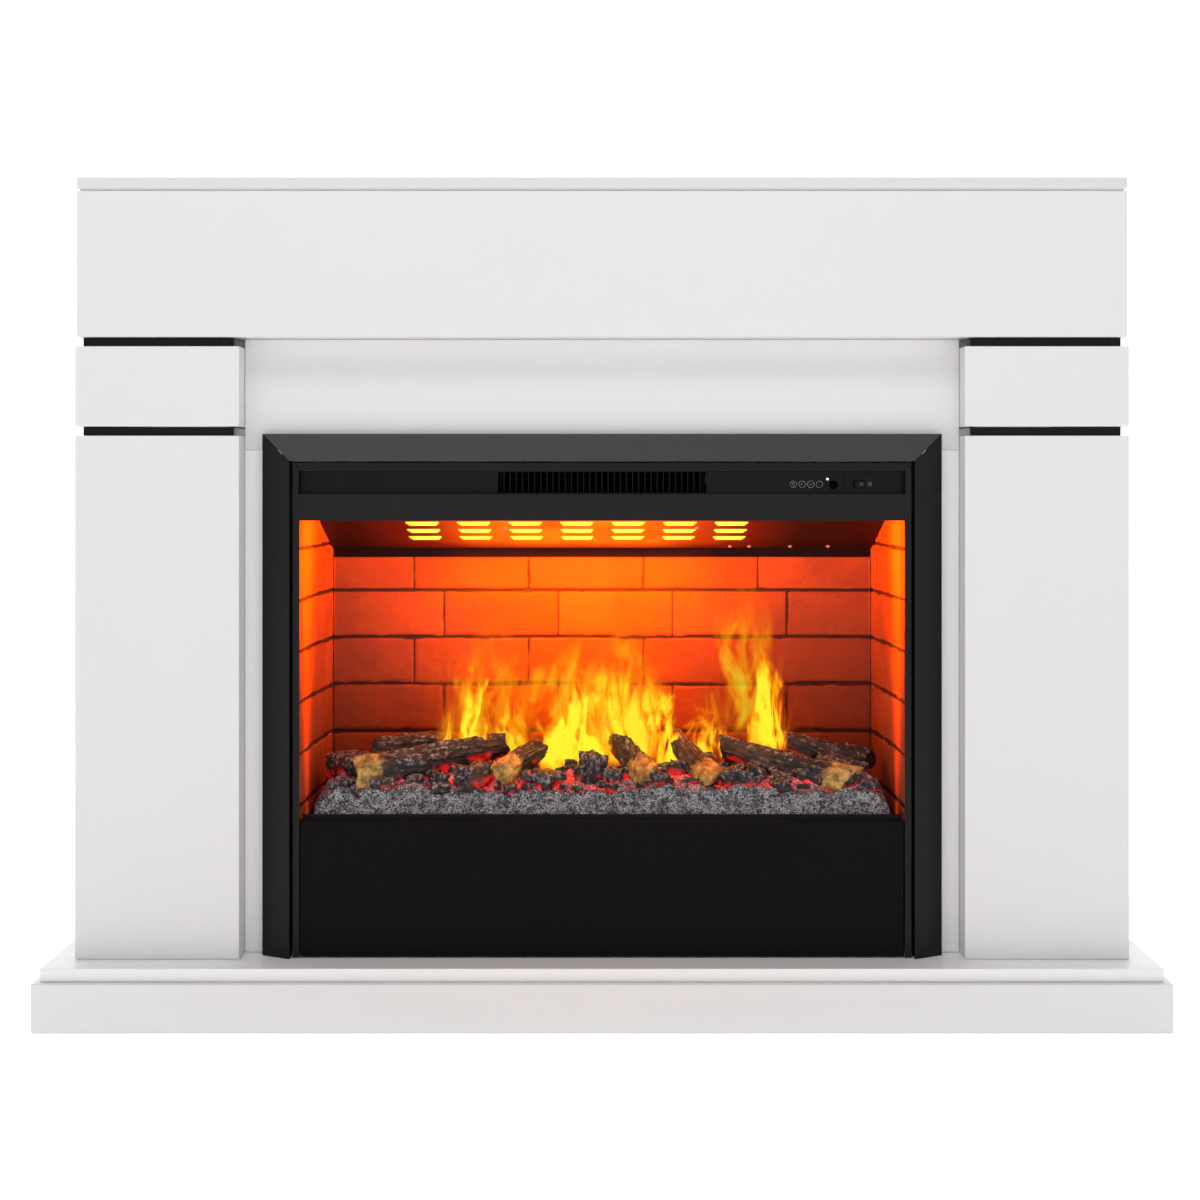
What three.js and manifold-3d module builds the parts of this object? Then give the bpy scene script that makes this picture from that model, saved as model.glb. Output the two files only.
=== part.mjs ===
// A free-standing electric fireplace: a white MDF surround with black shadow-gap spacers, and a black
// steel firebox insert with a water-mist flame effect, a quartz heater, a warm-air blower and a control strip.
// Millimetres, +Z up, -Y towards the room. Every Y below is counted from the face of the recessed header
// panel, and the last lines move the whole object so that its origin is the middle of its footprint.
import * as THREE from "three";
import { mergeVertices } from "three/addons/utils/BufferGeometryUtils.js";
import Module from "manifold-3d";

const wasm = await Module();
wasm.setup();

// ---- Driving dimensions: the surround ----
const BOARD = 16; // MDF board thickness
const GAP = 0.3; // joint line between two touching pieces
const REAR_Y = 290; // back edge of the surround, against the wall
const COLUMN_FRONT_Y = -35;
const COLUMN_OUTER_X = 642;
const COLUMN_WIDTH = 200;
const COLUMN_INNER_X = COLUMN_OUTER_X - COLUMN_WIDTH;
const COLUMN_RETURN_Y = 60; // how far back a column's inner board goes
const COLUMN_HEIGHT = 638;
const SPACER = 11; // black spacer thickness
const SPACER_INSET = 8;
const CAPITAL_HEIGHT = 98;
const MANTEL_X = 640;
const MANTEL_HEIGHT = 178.5;
const TOP_CHAMFER = 4;
const BASE_X = 680;
const BASE_FRONT_Y = -88;
const BASE_HEIGHT = 58.5;
const BASE_RIB_X = 300;
const STEP_X = 672;
const STEP_FRONT_Y = -78;
const OPENING_X = 402; // half width of the hole that the insert slides into
const OPENING_TOP = 621; // its height above the plinth

const SHELF_Z = BASE_HEIGHT + BOARD;
const LOWER_SPACER_Z = SHELF_Z + COLUMN_HEIGHT;
const CAPITAL_Z = LOWER_SPACER_Z + SPACER;
const UPPER_SPACER_Z = CAPITAL_Z + CAPITAL_HEIGHT;
const MANTEL_Z = UPPER_SPACER_Z + SPACER;
const TOP_Z = MANTEL_Z + MANTEL_HEIGHT;
const RAIL_HEIGHT = 100;

// ---- Driving dimensions: the insert, with heights above the plinth ----
const SHEET = 1.5; // sheet steel thickness
const TRIM_X = 417.5;
const TRIM_TOP = 640.5;
const TRIM_SIDE_WIDTH = 36.5;
const TRIM_TOP_WIDTH = 34;
const TRIM_EDGE_Y = -15; // front of the trim's outer lip
const TRIM_NOSE_Y = -35; // front of its inner edge
const TRIM_RETURN_Y = -12;
const BEZEL_X = 378;
const BEZEL_TOP = 604.7;
const BEZEL_Y = -28;
const BEZEL_FACE = 2;
const BEZEL_FLANGE_Y = -20;
const WINDOW_X = 370; // half width of the opening below the header bar
const WINDOW_TOP = 534;
const SLOT_X = 371;
const SLOT = [566.4, 594.9]; // control and air slot, bottom and top
const FASCIA_Y = -14; // face of the grille and the control panel, inside the slot
const FASCIA_THICK = 3;
const FASCIA_Z = [565, 596.5];
const GRILLE_X = 128;
const SLAT_COUNT = 33;
const SLAT_THICK = 1.2;
const BUTTON_X = [235, 245.7, 256.4, 267.1];
const BUTTON_NAMES = ["button_standby", "button_flame", "button_heat_low", "button_heat_high"];
const BUTTON_RADIUS = 4.4;
const CONTROL_Z = 578.5;
const CEILING_Z = 546;
const CEILING_BEND_Y = 90;
const FIREBOX_REAR_Y = 212;
const CEILING_REAR_Z = 492.7;
const BRICK_TOP = 480;
const BRICK_THICK = 10;
const BRICK_BACK_X = 362; // half width of the rear brick panel
const FLOOR_Z = 160; // top sheet of the lower compartment
const CASING_X = 396;
const CASING_TOP = 616;
const CASING_REAR_Y = 252;
const DRAWER_X = 368.5;
const DRAWER_TOP = 167;
const DRAWER_BOTTOM = 2;
const TRAY_X = 340;
const TRAY_Y = [-24, 190];
const TRAY_Z = [11, 50];
const TRAY_WALL = 2;

// ---- Materials ----
const finish = (color, roughness, metalness = 0) =>
  new THREE.MeshStandardMaterial({ color, roughness, metalness });
const WHITE = finish(0xe9e7e6, 0.45);
const BLACK_GLOSS = finish(0x0c0c0d, 0.25);
const BLACK_STEEL = finish(0x2b2a2b, 0.5, 0.4);
const BLACK_PLASTIC = finish(0x121213, 0.4);
const ZINC = finish(0xa9adb0, 0.4, 0.9);
const BRICK = finish(0x9a4526, 0.9);
const ASH = finish(0x55504f, 0.95);
const WOOD = finish(0x5b4236, 0.9);
const CLEAR_TANK = finish(0xbfd4dd, 0.2);
const QUARTZ = finish(0xffb35a, 0.1);
const RED_LENS = finish(0xd98a86, 0.2);
const BOARD_GREEN = finish(0x1f5a35, 0.6);

// ---- Geometry helpers ----
function box([x0, x1], [y0, y1], [z0, z1]) {
  const centre = [(x0 + x1) / 2, (y0 + y1) / 2, (z0 + z1) / 2];
  return new THREE.BoxGeometry(x1 - x0, y1 - y0, z1 - z0).translate(...centre);
}

function outline(points, holes = []) {
  const shape = new THREE.Shape(points.map(([u, v]) => new THREE.Vector2(u, v)));
  shape.holes = holes.map((hole) => new THREE.Path(hole.map(([u, v]) => new THREE.Vector2(u, v))));
  return shape;
}

const extrude = (shape, depth) =>
  new THREE.ExtrudeGeometry(shape, { depth, bevelEnabled: false, curveSegments: 6 });
const axis = (x, y, z) => new THREE.Vector3(x, y, z);
const YZ_TO_X = new THREE.Matrix4().makeBasis(axis(0, 1, 0), axis(0, 0, 1), axis(1, 0, 0));
const XZ_TO_Y = new THREE.Matrix4().makeBasis(axis(1, 0, 0), axis(0, 0, 1), axis(0, -1, 0));

// An outline seen from above, from the front (x, z) or from the side (y, z), carried along the third axis.
const alongZ = (shape, [z0, z1]) => extrude(shape, z1 - z0).translate(0, 0, z0);
const alongY = (shape, [y0, y1]) => extrude(shape, y1 - y0).applyMatrix4(XZ_TO_Y).translate(0, y1, 0);
const alongX = (shape, [x0, x1]) => extrude(shape, x1 - x0).applyMatrix4(YZ_TO_X).translate(x0, 0, 0);

function rod(direction, radius, [from, to], [u, v], sides = 24, farRadius = radius) {
  const rodGeometry = new THREE.CylinderGeometry(farRadius, radius, to - from, sides);
  const middle = (from + to) / 2;
  if (direction === "x") return rodGeometry.rotateZ(-Math.PI / 2).translate(middle, u, v);
  if (direction === "y") return rodGeometry.translate(u, middle, v);
  return rodGeometry.rotateX(Math.PI / 2).translate(u, v, middle);
}

function toSolid(geometry) {
  const bare = geometry.clone();
  bare.deleteAttribute("normal");
  bare.deleteAttribute("uv");
  const merged = mergeVertices(bare, 1e-4);
  const vertProperties = merged.attributes.position.array;
  const mesh = { numProp: 3, vertProperties, triVerts: new Uint32Array(merged.index.array) };
  return new wasm.Manifold(new wasm.Mesh(mesh));
}

function toGeometry(solid) {
  const mesh = solid.getMesh();
  const geometry = new THREE.BufferGeometry();
  geometry.setAttribute("position", new THREE.BufferAttribute(mesh.vertProperties, 3));
  geometry.setIndex(new THREE.BufferAttribute(mesh.triVerts, 1));
  geometry.computeVertexNormals();
  return geometry;
}

const cut = (geometry, ...tools) =>
  toGeometry(tools.reduce((solid, tool) => solid.subtract(toSolid(tool)), toSolid(geometry)));
const join = (first, ...others) =>
  toGeometry(others.reduce((solid, piece) => solid.add(toSolid(piece)), toSolid(first)));

function add(group, name, geometry, material, [x, y, z] = [0, 0, 0]) {
  const mesh = new THREE.Mesh(geometry, material);
  mesh.name = name;
  mesh.position.set(x, y, z);
  group.add(mesh);
  return mesh;
}

const SIDES = [["left", -1], ["right", 1]];
// A span of X on one side of the middle, in rising order.
const sideSpan = (sign, inner, outer) => (sign > 0 ? [inner, outer] : [-outer, -inner]);

// ---- The surround ----
const surround = new THREE.Group();

function pillarOutline(sign) {
  const points = [
    [COLUMN_INNER_X, COLUMN_FRONT_Y],
    [COLUMN_OUTER_X, COLUMN_FRONT_Y],
    [COLUMN_OUTER_X, REAR_Y],
    [COLUMN_OUTER_X - BOARD, REAR_Y],
    [COLUMN_OUTER_X - BOARD, COLUMN_FRONT_Y + BOARD],
    [COLUMN_INNER_X + BOARD, COLUMN_FRONT_Y + BOARD],
    [COLUMN_INNER_X + BOARD, COLUMN_RETURN_Y],
    [COLUMN_INNER_X, COLUMN_RETURN_Y],
  ];
  return outline(points.map(([x, y]) => [sign * x, y]));
}

// A column and a capital are the same folded shell, open at the back, and each stands on a black spacer.
for (const [side, sign] of SIDES) {
  const spacerX = sideSpan(sign, COLUMN_INNER_X + SPACER_INSET, COLUMN_OUTER_X - SPACER_INSET);
  const spacer = () => box(spacerX, [COLUMN_FRONT_Y + SPACER_INSET, REAR_Y], [0, SPACER - GAP]);
  const shell = (height) => alongZ(pillarOutline(sign), [0, height - GAP]);
  add(surround, `column_${side}`, shell(COLUMN_HEIGHT), WHITE, [0, 0, SHELF_Z]);
  add(surround, `lower_spacer_${side}`, spacer(), BLACK_GLOSS, [0, 0, LOWER_SPACER_Z]);
  add(surround, `capital_${side}`, shell(CAPITAL_HEIGHT), WHITE, [0, 0, CAPITAL_Z]);
  add(surround, `upper_spacer_${side}`, spacer(), BLACK_GLOSS, [0, 0, UPPER_SPACER_Z]);
  const infillX = sideSpan(sign, OPENING_X, COLUMN_INNER_X - GAP);
  add(surround, `infill_${side}`, box(infillX, [0, BOARD], [0, OPENING_TOP - GAP]), WHITE, [0, 0, SHELF_Z]);
}

const headerZ = [SHELF_Z + OPENING_TOP, MANTEL_Z - GAP];
const headerX = [GAP - COLUMN_INNER_X, COLUMN_INNER_X - GAP];
add(surround, "header_panel", box(headerX, [0, BOARD], headerZ), WHITE);

const innerMantelX = MANTEL_X - BOARD;
const mantelOutline = outline([
  [-MANTEL_X, COLUMN_FRONT_Y],
  [MANTEL_X, COLUMN_FRONT_Y],
  [MANTEL_X, REAR_Y],
  [innerMantelX, REAR_Y],
  [innerMantelX, COLUMN_FRONT_Y + BOARD],
  [-innerMantelX, COLUMN_FRONT_Y + BOARD],
  [-innerMantelX, REAR_Y],
  [-MANTEL_X, REAR_Y],
]);
add(surround, "mantel_shell", alongZ(mantelOutline, [0, MANTEL_HEIGHT - GAP]), WHITE, [0, 0, MANTEL_Z]);

const betweenEnds = [GAP - innerMantelX, innerMantelX - GAP];
const soffitY = [COLUMN_FRONT_Y + BOARD + GAP, REAR_Y];
add(surround, "mantel_soffit", box(betweenEnds, soffitY, [0, BOARD]), WHITE, [0, 0, MANTEL_Z]);
const railZ = MANTEL_Z + BOARD + GAP;
add(surround, "rear_rail", box(betweenEnds, [REAR_Y - BOARD, REAR_Y], [0, RAIL_HEIGHT]), WHITE, [0, 0, railZ]);

// The top board has a chamfer under its front edge and its ends.
function topBoard() {
  const chamfered = box([-MANTEL_X, MANTEL_X], [COLUMN_FRONT_Y, REAR_Y], [0, TOP_CHAMFER]);
  const corners = chamfered.attributes.position;
  for (let i = 0; i < corners.count; i++) {
    if (corners.getZ(i) > 0) continue;
    corners.setX(i, corners.getX(i) - Math.sign(corners.getX(i)) * TOP_CHAMFER);
    if (corners.getY(i) < 0) corners.setY(i, corners.getY(i) + TOP_CHAMFER);
  }
  return join(chamfered, box([-MANTEL_X, MANTEL_X], [COLUMN_FRONT_Y, REAR_Y], [TOP_CHAMFER, BOARD]));
}
add(surround, "top_board", topBoard(), WHITE, [0, 0, TOP_Z]);

function plinthFrame() {
  const height = [0, BASE_HEIGHT - GAP];
  const innerX = BASE_X - BOARD;
  const innerY = BASE_FRONT_Y + BOARD;
  const rib = (x) => box([x - BOARD / 2, x + BOARD / 2], [innerY, REAR_Y], height);
  const ribs = [-BASE_RIB_X, BASE_RIB_X].map(rib);
  return join(
    box([-BASE_X, BASE_X], [BASE_FRONT_Y, innerY], height),
    box([-BASE_X, -innerX], [BASE_FRONT_Y, REAR_Y], height),
    box([innerX, BASE_X], [BASE_FRONT_Y, REAR_Y], height),
    ...ribs,
  );
}
add(surround, "plinth_frame", plinthFrame(), WHITE);
const plinthTop = box([-STEP_X, STEP_X], [STEP_FRONT_Y, REAR_Y], [0, BOARD - GAP]);
add(surround, "plinth_top", plinthTop, WHITE, [0, 0, BASE_HEIGHT]);

// ---- The insert ----
const insert = new THREE.Group();
insert.position.z = SHELF_Z;

// Trim: a folded strip that rises from its outer lip to a nose beside the bezel, mitred at the top corners.
const trimProfile = (outer, width, sign) => {
  const inner = outer - width;
  const fold = SHEET * 0.6; // how much the slanted wall's thickness moves its inner corners
  return [
    [outer, -GAP],
    [outer, TRIM_EDGE_Y],
    [inner, TRIM_NOSE_Y],
    [inner, TRIM_RETURN_Y],
    [inner + SHEET, TRIM_RETURN_Y],
    [inner + SHEET, TRIM_NOSE_Y + SHEET + fold],
    [outer - SHEET, TRIM_EDGE_Y + fold],
    [outer - SHEET, -GAP],
  ].map(([across, y]) => [sign * across, y]);
};

// Everything on the upper side of one mitre line, as seen from the front.
function mitreBlock(sign, shift, upper) {
  const [dx, dz] = [TRIM_SIDE_WIDTH, TRIM_TOP_WIDTH];
  const reach = 12;
  const start = [TRIM_X - dx - dx, TRIM_TOP - dz - dz + shift];
  const end = [TRIM_X + dx, TRIM_TOP + dz + shift];
  const corner = upper ? [start[0] - reach * dx, end[1]] : [end[0], start[1] - reach * dz];
  const farCorner = upper ? [start[0] - reach * dx, start[1]] : [end[0] + dx, end[1]];
  const points = upper ? [start, end, corner, farCorner] : [start, corner, farCorner, end];
  return alongY(outline(points.map(([x, z]) => [sign * x, z])), [TRIM_NOSE_Y - 5, 5]);
}

for (const [side, sign] of SIDES) {
  const length = alongZ(outline(trimProfile(TRIM_X, TRIM_SIDE_WIDTH, sign)), [0, TRIM_TOP]);
  add(insert, `trim_${side}`, cut(length, mitreBlock(sign, -GAP / 2, true)), BLACK_STEEL);
}
const trimTopProfile = trimProfile(TRIM_TOP, TRIM_TOP_WIDTH, 1).map(([z, y]) => [y, z]);
const trimTopLength = alongX(outline(trimTopProfile), [-TRIM_X, TRIM_X]);
const mitres = [mitreBlock(-1, GAP / 2, false), mitreBlock(1, GAP / 2, false)];
add(insert, "trim_top", cut(trimTopLength, ...mitres), BLACK_STEEL);

// Bezel: one pressed sheet, with the control slot above the header bar and the window below it.
function frontBezel() {
  const faceY = [BEZEL_Y, BEZEL_Y + BEZEL_FACE];
  const foot = 1;
  const edge = [
    [-BEZEL_X, foot],
    [-WINDOW_X, foot],
    [-WINDOW_X, WINDOW_TOP],
    [WINDOW_X, WINDOW_TOP],
    [WINDOW_X, foot],
    [BEZEL_X, foot],
    [BEZEL_X, BEZEL_TOP],
    [-BEZEL_X, BEZEL_TOP],
  ];
  const slot = [[-SLOT_X, SLOT[0]], [SLOT_X, SLOT[0]], [SLOT_X, SLOT[1]], [-SLOT_X, SLOT[1]]];
  const face = alongY(outline(edge, [slot]), faceY);
  const flangeY = [BEZEL_Y + 1, BEZEL_FLANGE_Y];
  const jambFlange = ([, sign]) => box(sideSpan(sign, BEZEL_X - SHEET, BEZEL_X), flangeY, [foot, BEZEL_TOP]);
  const jambFlanges = SIDES.map(jambFlange);
  const topFlange = box([-BEZEL_X, BEZEL_X], flangeY, [BEZEL_TOP - SHEET, BEZEL_TOP]);
  const headerFlange = box([-WINDOW_X, WINDOW_X], flangeY, [WINDOW_TOP, WINDOW_TOP + SHEET]);
  const slotY = [BEZEL_Y + 1, FASCIA_Y - 0.5];
  const lip = 1.2;
  const collar = cut(
    box([-SLOT_X - lip, SLOT_X + lip], slotY, [SLOT[0] - lip, SLOT[1] + lip]),
    box([-SLOT_X, SLOT_X], [slotY[0] - 1, slotY[1] + 1], SLOT),
  );
  return join(face, ...jambFlanges, topFlange, headerFlange, collar);
}
add(insert, "front_bezel", frontBezel(), BLACK_STEEL);

// Fascia inside the slot: a blank strip and the air grille in one moulding, then the control panel.
function outletGrille() {
  const faceY = [FASCIA_Y, FASCIA_Y + FASCIA_THICK];
  const rail = 3;
  const slatDepth = 12;
  const pitch = (2 * GRILLE_X) / (SLAT_COUNT + 1);
  const slats = [];
  for (let i = 1; i <= SLAT_COUNT; i++) {
    const x = -GRILLE_X + i * pitch;
    slats.push(box([x - SLAT_THICK / 2, x + SLAT_THICK / 2], [FASCIA_Y, FASCIA_Y + slatDepth], FASCIA_Z));
  }
  return join(
    box([0.5 - SLOT_X, -GRILLE_X], faceY, FASCIA_Z),
    box([-GRILLE_X, GRILLE_X - GAP], faceY, [FASCIA_Z[0], FASCIA_Z[0] + rail]),
    box([-GRILLE_X, GRILLE_X - GAP], faceY, [FASCIA_Z[1] - rail, FASCIA_Z[1]]),
    ...slats,
  );
}
add(insert, "outlet_grille", outletGrille(), BLACK_PLASTIC);

const LED = { x: 277.2, z: 584.9, radius: 1.5 };
const RECEIVER = { x: 284.5, z: 577.6, radius: 5.2 };
const ROCKER = { x: 316, y: -11, halfWidth: 6.4, halfHeight: 4.3, tilt: 8 };
const RUNNING = 0.3; // clearance round what moves in the control panel

function controlPanel() {
  const behind = [FASCIA_Y - 1, FASCIA_Y + FASCIA_THICK + 12];
  const opening = { x: ROCKER.halfWidth + 1.1, z: ROCKER.halfHeight + 0.7 };
  const wall = 1;
  const rockerX = [ROCKER.x - opening.x, ROCKER.x + opening.x];
  const rockerZ = [CONTROL_Z - opening.z, CONTROL_Z + opening.z];
  const socketX = [rockerX[0] - wall, rockerX[1] + wall];
  const socketZ = [rockerZ[0] - wall, rockerZ[1] + wall];
  const plate = box([GRILLE_X, SLOT_X - 0.5], [FASCIA_Y, FASCIA_Y + FASCIA_THICK], FASCIA_Z);
  const socket = box(socketX, [FASCIA_Y + 1, -2], socketZ);
  return cut(
    join(plate, socket),
    box(rockerX, behind, rockerZ),
    ...BUTTON_X.map((x) => rod("y", BUTTON_RADIUS + RUNNING, behind, [x, CONTROL_Z])),
    rod("y", LED.radius + GAP, behind, [LED.x, LED.z], 16),
    rod("y", RECEIVER.radius + GAP, behind, [RECEIVER.x, RECEIVER.z]),
  );
}
add(insert, "control_panel", controlPanel(), BLACK_PLASTIC);
add(insert, "status_led", rod("y", LED.radius, [FASCIA_Y - 0.8, -8], [LED.x, LED.z], 12), RED_LENS);
const receiverRod = rod("y", RECEIVER.radius, [FASCIA_Y - 0.4, -8], [RECEIVER.x, RECEIVER.z]);
add(insert, "ir_window", receiverRod, BLACK_GLOSS);

const BUTTON_Y = [FASCIA_Y - 1, -8.2];
BUTTON_X.forEach((x, i) => {
  add(insert, BUTTON_NAMES[i], rod("y", BUTTON_RADIUS, BUTTON_Y, [0, 0]), BLACK_PLASTIC, [x, 0, CONTROL_Z]);
});

// The rocker leans to its "on" side. Its pivot is the mesh's own origin, with the axis upright.
const rockerShape = outline([
  [-ROCKER.halfWidth, -5],
  [0, -3.4],
  [ROCKER.halfWidth, -5],
  [6, 2],
  [2, 5],
  [-2, 5],
  [-6, 2],
]);
const rockerHeight = [-ROCKER.halfHeight, ROCKER.halfHeight];
const rockerAt = [ROCKER.x, ROCKER.y, CONTROL_Z];
const rocker = add(insert, "power_rocker", alongZ(rockerShape, rockerHeight), BLACK_PLASTIC, rockerAt);
rocker.rotation.z = THREE.MathUtils.degToRad(ROCKER.tilt);

function controlBoard() {
  const boardX = [226, 300];
  const switchHalf = 3;
  const switches = BUTTON_X.map((x) => {
    return box([x - switchHalf, x + switchHalf], [-7, -4], [CONTROL_Z - switchHalf, CONTROL_Z + switchHalf]);
  });
  return join(box(boardX, [-4, -2.4], FASCIA_Z), ...switches);
}
add(insert, "control_board", controlBoard(), BOARD_GREEN);

// Ceiling of the firebox: flat at the front, then sloping down to the rear wall, with louvre holes in the slope.
const slopeRun = FIREBOX_REAR_Y - 2 - CEILING_BEND_Y;
const slopeDrop = CEILING_Z - CEILING_REAR_Z;
const slopeAngle = Math.atan2(slopeDrop, slopeRun);
const HEATER_X = -33; // the heater sits a little left of the middle
const LOUVRE_PITCH = 67.4;
const LOUVRE_COLUMNS = [-3, -2, -1, 0, 1, 2, 3];
const LOUVRE_ROWS = [34.5, 59.1, 83.7]; // up the slope, from its rear edge

// The slope's own frame: x across, +y up the slope towards the room, +z out of its upper side.
const slopeFrame = new THREE.Matrix4()
  .makeTranslation(0, FIREBOX_REAR_Y - 2, CEILING_REAR_Z)
  .multiply(new THREE.Matrix4().makeRotationX(-slopeAngle))
  .multiply(new THREE.Matrix4().makeRotationZ(Math.PI));

function ceilingPanel() {
  const front = -25;
  const rear = FIREBOX_REAR_Y - 2;
  const profile = outline([
    [front, CEILING_Z],
    [CEILING_BEND_Y, CEILING_Z],
    [rear, CEILING_REAR_Z],
    [rear, BRICK_TOP + 0.5],
    [rear + SHEET, BRICK_TOP + 0.5],
    [rear + SHEET, CEILING_REAR_Z + SHEET * 0.65],
    [CEILING_BEND_Y + SHEET * 0.2, CEILING_Z + SHEET],
    [front, CEILING_Z + SHEET],
  ]);
  const half = { foot: 17, shoulder: 22.5, top: 21, low: -10, mid: 1, high: 8.5 };
  const holes = [];
  for (const row of LOUVRE_ROWS) {
    for (const column of LOUVRE_COLUMNS) {
      const x = -HEATER_X - column * LOUVRE_PITCH;
      const hole = outline([
        [x - half.foot, row + half.low],
        [x + half.foot, row + half.low],
        [x + half.shoulder, row + half.mid],
        [x + half.top, row + half.high],
        [x - half.top, row + half.high],
        [x - half.shoulder, row + half.mid],
      ]);
      holes.push(alongZ(hole, [-8, 8]).applyMatrix4(slopeFrame));
    }
  }
  // The rear flange drops between the side panels, so its two ends are cut away.
  const flangeZ = [BRICK_TOP, CEILING_REAR_Z + GAP];
  const endSlot = ([, sign]) => box(sideSpan(sign, BRICK_BACK_X - 1, WINDOW_X), [rear - 5, rear + 5], flangeZ);
  const ends = SIDES.map(endSlot);
  return cut(alongX(profile, [1 - WINDOW_X, WINDOW_X - 1]), ...ends, ...holes);
}
add(insert, "ceiling_panel", ceilingPanel(), BLACK_STEEL);

// Heater: a reflector trough over the louvres with one quartz tube in it, in the slope's own frame.
const heater = new THREE.Group();
heater.applyMatrix4(slopeFrame);
const REFLECTOR = { halfLength: 250, y: [14, 104], z: [3, 34] };
const TUBE = { y: 59, z: 20, radius: 6, halfLength: 270, capRadius: 9, cap: 16 };

function reflector() {
  const [y0, y1] = REFLECTOR.y;
  const [z0, z1] = REFLECTOR.z;
  const shoulder = 14;
  const trough = outline([
    [y0, z0],
    [y0 + shoulder, z1],
    [y1 - shoulder, z1],
    [y1, z0],
    [y1 - SHEET, z0],
    [y1 - shoulder - SHEET * 0.7, z1 - SHEET],
    [y0 + shoulder + SHEET * 0.7, z1 - SHEET],
    [y0 + SHEET, z0],
  ]);
  return alongX(trough, [-REFLECTOR.halfLength, REFLECTOR.halfLength]);
}
const tubeAt = [TUBE.y, TUBE.z];
const capSpans = [[-TUBE.halfLength, TUBE.cap - TUBE.halfLength], [TUBE.halfLength - TUBE.cap, TUBE.halfLength]];
const quartzTube = join(
  rod("x", TUBE.radius, [-TUBE.halfLength, TUBE.halfLength], tubeAt, 16),
  ...capSpans.map((span) => rod("x", TUBE.capRadius, span, tubeAt, 16)),
);
add(heater, "heater_reflector", reflector(), ZINC, [-HEATER_X, 0, 0]);
add(heater, "quartz_tube", quartzTube, QUARTZ, [-HEATER_X, 0, 0]);
insert.add(heater);

// Blower: a cross-flow rotor in a scroll behind the grille, with its motor on the right-hand end.
const BLOWER = { y: 64, z: 584, rotorRadius: 19, rotorHalf: 118, scrollRadius: 24, half: 126, shaftRadius: 3 };
const blowerAt = [BLOWER.y, BLOWER.z];
const degrees = THREE.MathUtils.degToRad;
function around(radius, angle) {
  const turned = degrees(angle);
  return [BLOWER.y + radius * Math.cos(turned), BLOWER.z + radius * Math.sin(turned)];
}

function blowerRotor() {
  const BLADES = 20;
  const bladeDepth = 5;
  const parts = [rod("x", BLOWER.shaftRadius, [-BLOWER.half - 6, BLOWER.half + 24], [0, 0], 12)];
  for (const x of [-BLOWER.rotorHalf, -1, BLOWER.rotorHalf - 2]) {
    parts.push(rod("x", BLOWER.rotorRadius, [x, x + 2], [0, 0], 20));
  }
  for (let i = 0; i < BLADES; i++) {
    const tip = BLOWER.rotorRadius - 0.6;
    const blade = box([-BLOWER.rotorHalf, BLOWER.rotorHalf], [tip - bladeDepth, tip], [-0.4, 0.4]);
    parts.push(blade.rotateX((2 * Math.PI * i) / BLADES));
  }
  return join(...parts);
}
add(insert, "blower_rotor", blowerRotor(), ZINC, [0, ...blowerAt]);

function blowerHousing() {
  const wall = 1.5;
  const ductFront = 1;
  const ductBottom = 565;
  const ductTop = 597;
  const innerArc = [];
  const outerArc = [];
  for (let angle = -110; angle <= 60; angle += 17) {
    innerArc.push(around(BLOWER.scrollRadius, angle));
    outerArc.unshift(around(BLOWER.scrollRadius + wall, angle));
  }
  const scroll = outline([[ductFront, ductBottom], ...innerArc, ...outerArc, [ductFront, ductBottom - wall]]);
  const stabiliser = outline([
    [ductFront, ductTop],
    [46, ductTop + 3],
    [46, ductTop + 3 + wall],
    [ductFront, ductTop + wall],
  ]);
  const span = [-BLOWER.half, BLOWER.half];
  const endShape = outline([
    [ductFront, ductBottom - wall],
    around(BLOWER.scrollRadius + wall, -110),
    around(BLOWER.scrollRadius + wall, -60),
    around(BLOWER.scrollRadius + wall, 0),
    around(BLOWER.scrollRadius + wall, 60),
    around(BLOWER.scrollRadius + wall, 110),
    [46, ductTop + 3 + wall],
    [ductFront, ductTop + wall],
  ]);
  const ends = [[-BLOWER.half, 2 - BLOWER.half], [BLOWER.half - 2, BLOWER.half]].map((x) => alongX(endShape, x));
  const shaftHole = rod("x", BLOWER.shaftRadius + 0.5, [-BLOWER.half - 5, BLOWER.half + 5], blowerAt, 16);
  return cut(join(alongX(scroll, span), alongX(stabiliser, span), ...ends), shaftHole);
}
add(insert, "blower_housing", blowerHousing(), ZINC);
const motorBody = rod("x", 18, [BLOWER.half + 3, BLOWER.half + 38], blowerAt);
const motorBore = rod("x", BLOWER.shaftRadius + 0.5, [BLOWER.half, BLOWER.half + 28], blowerAt, 16);
add(insert, "blower_motor", cut(motorBody, motorBore), ZINC);

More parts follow.
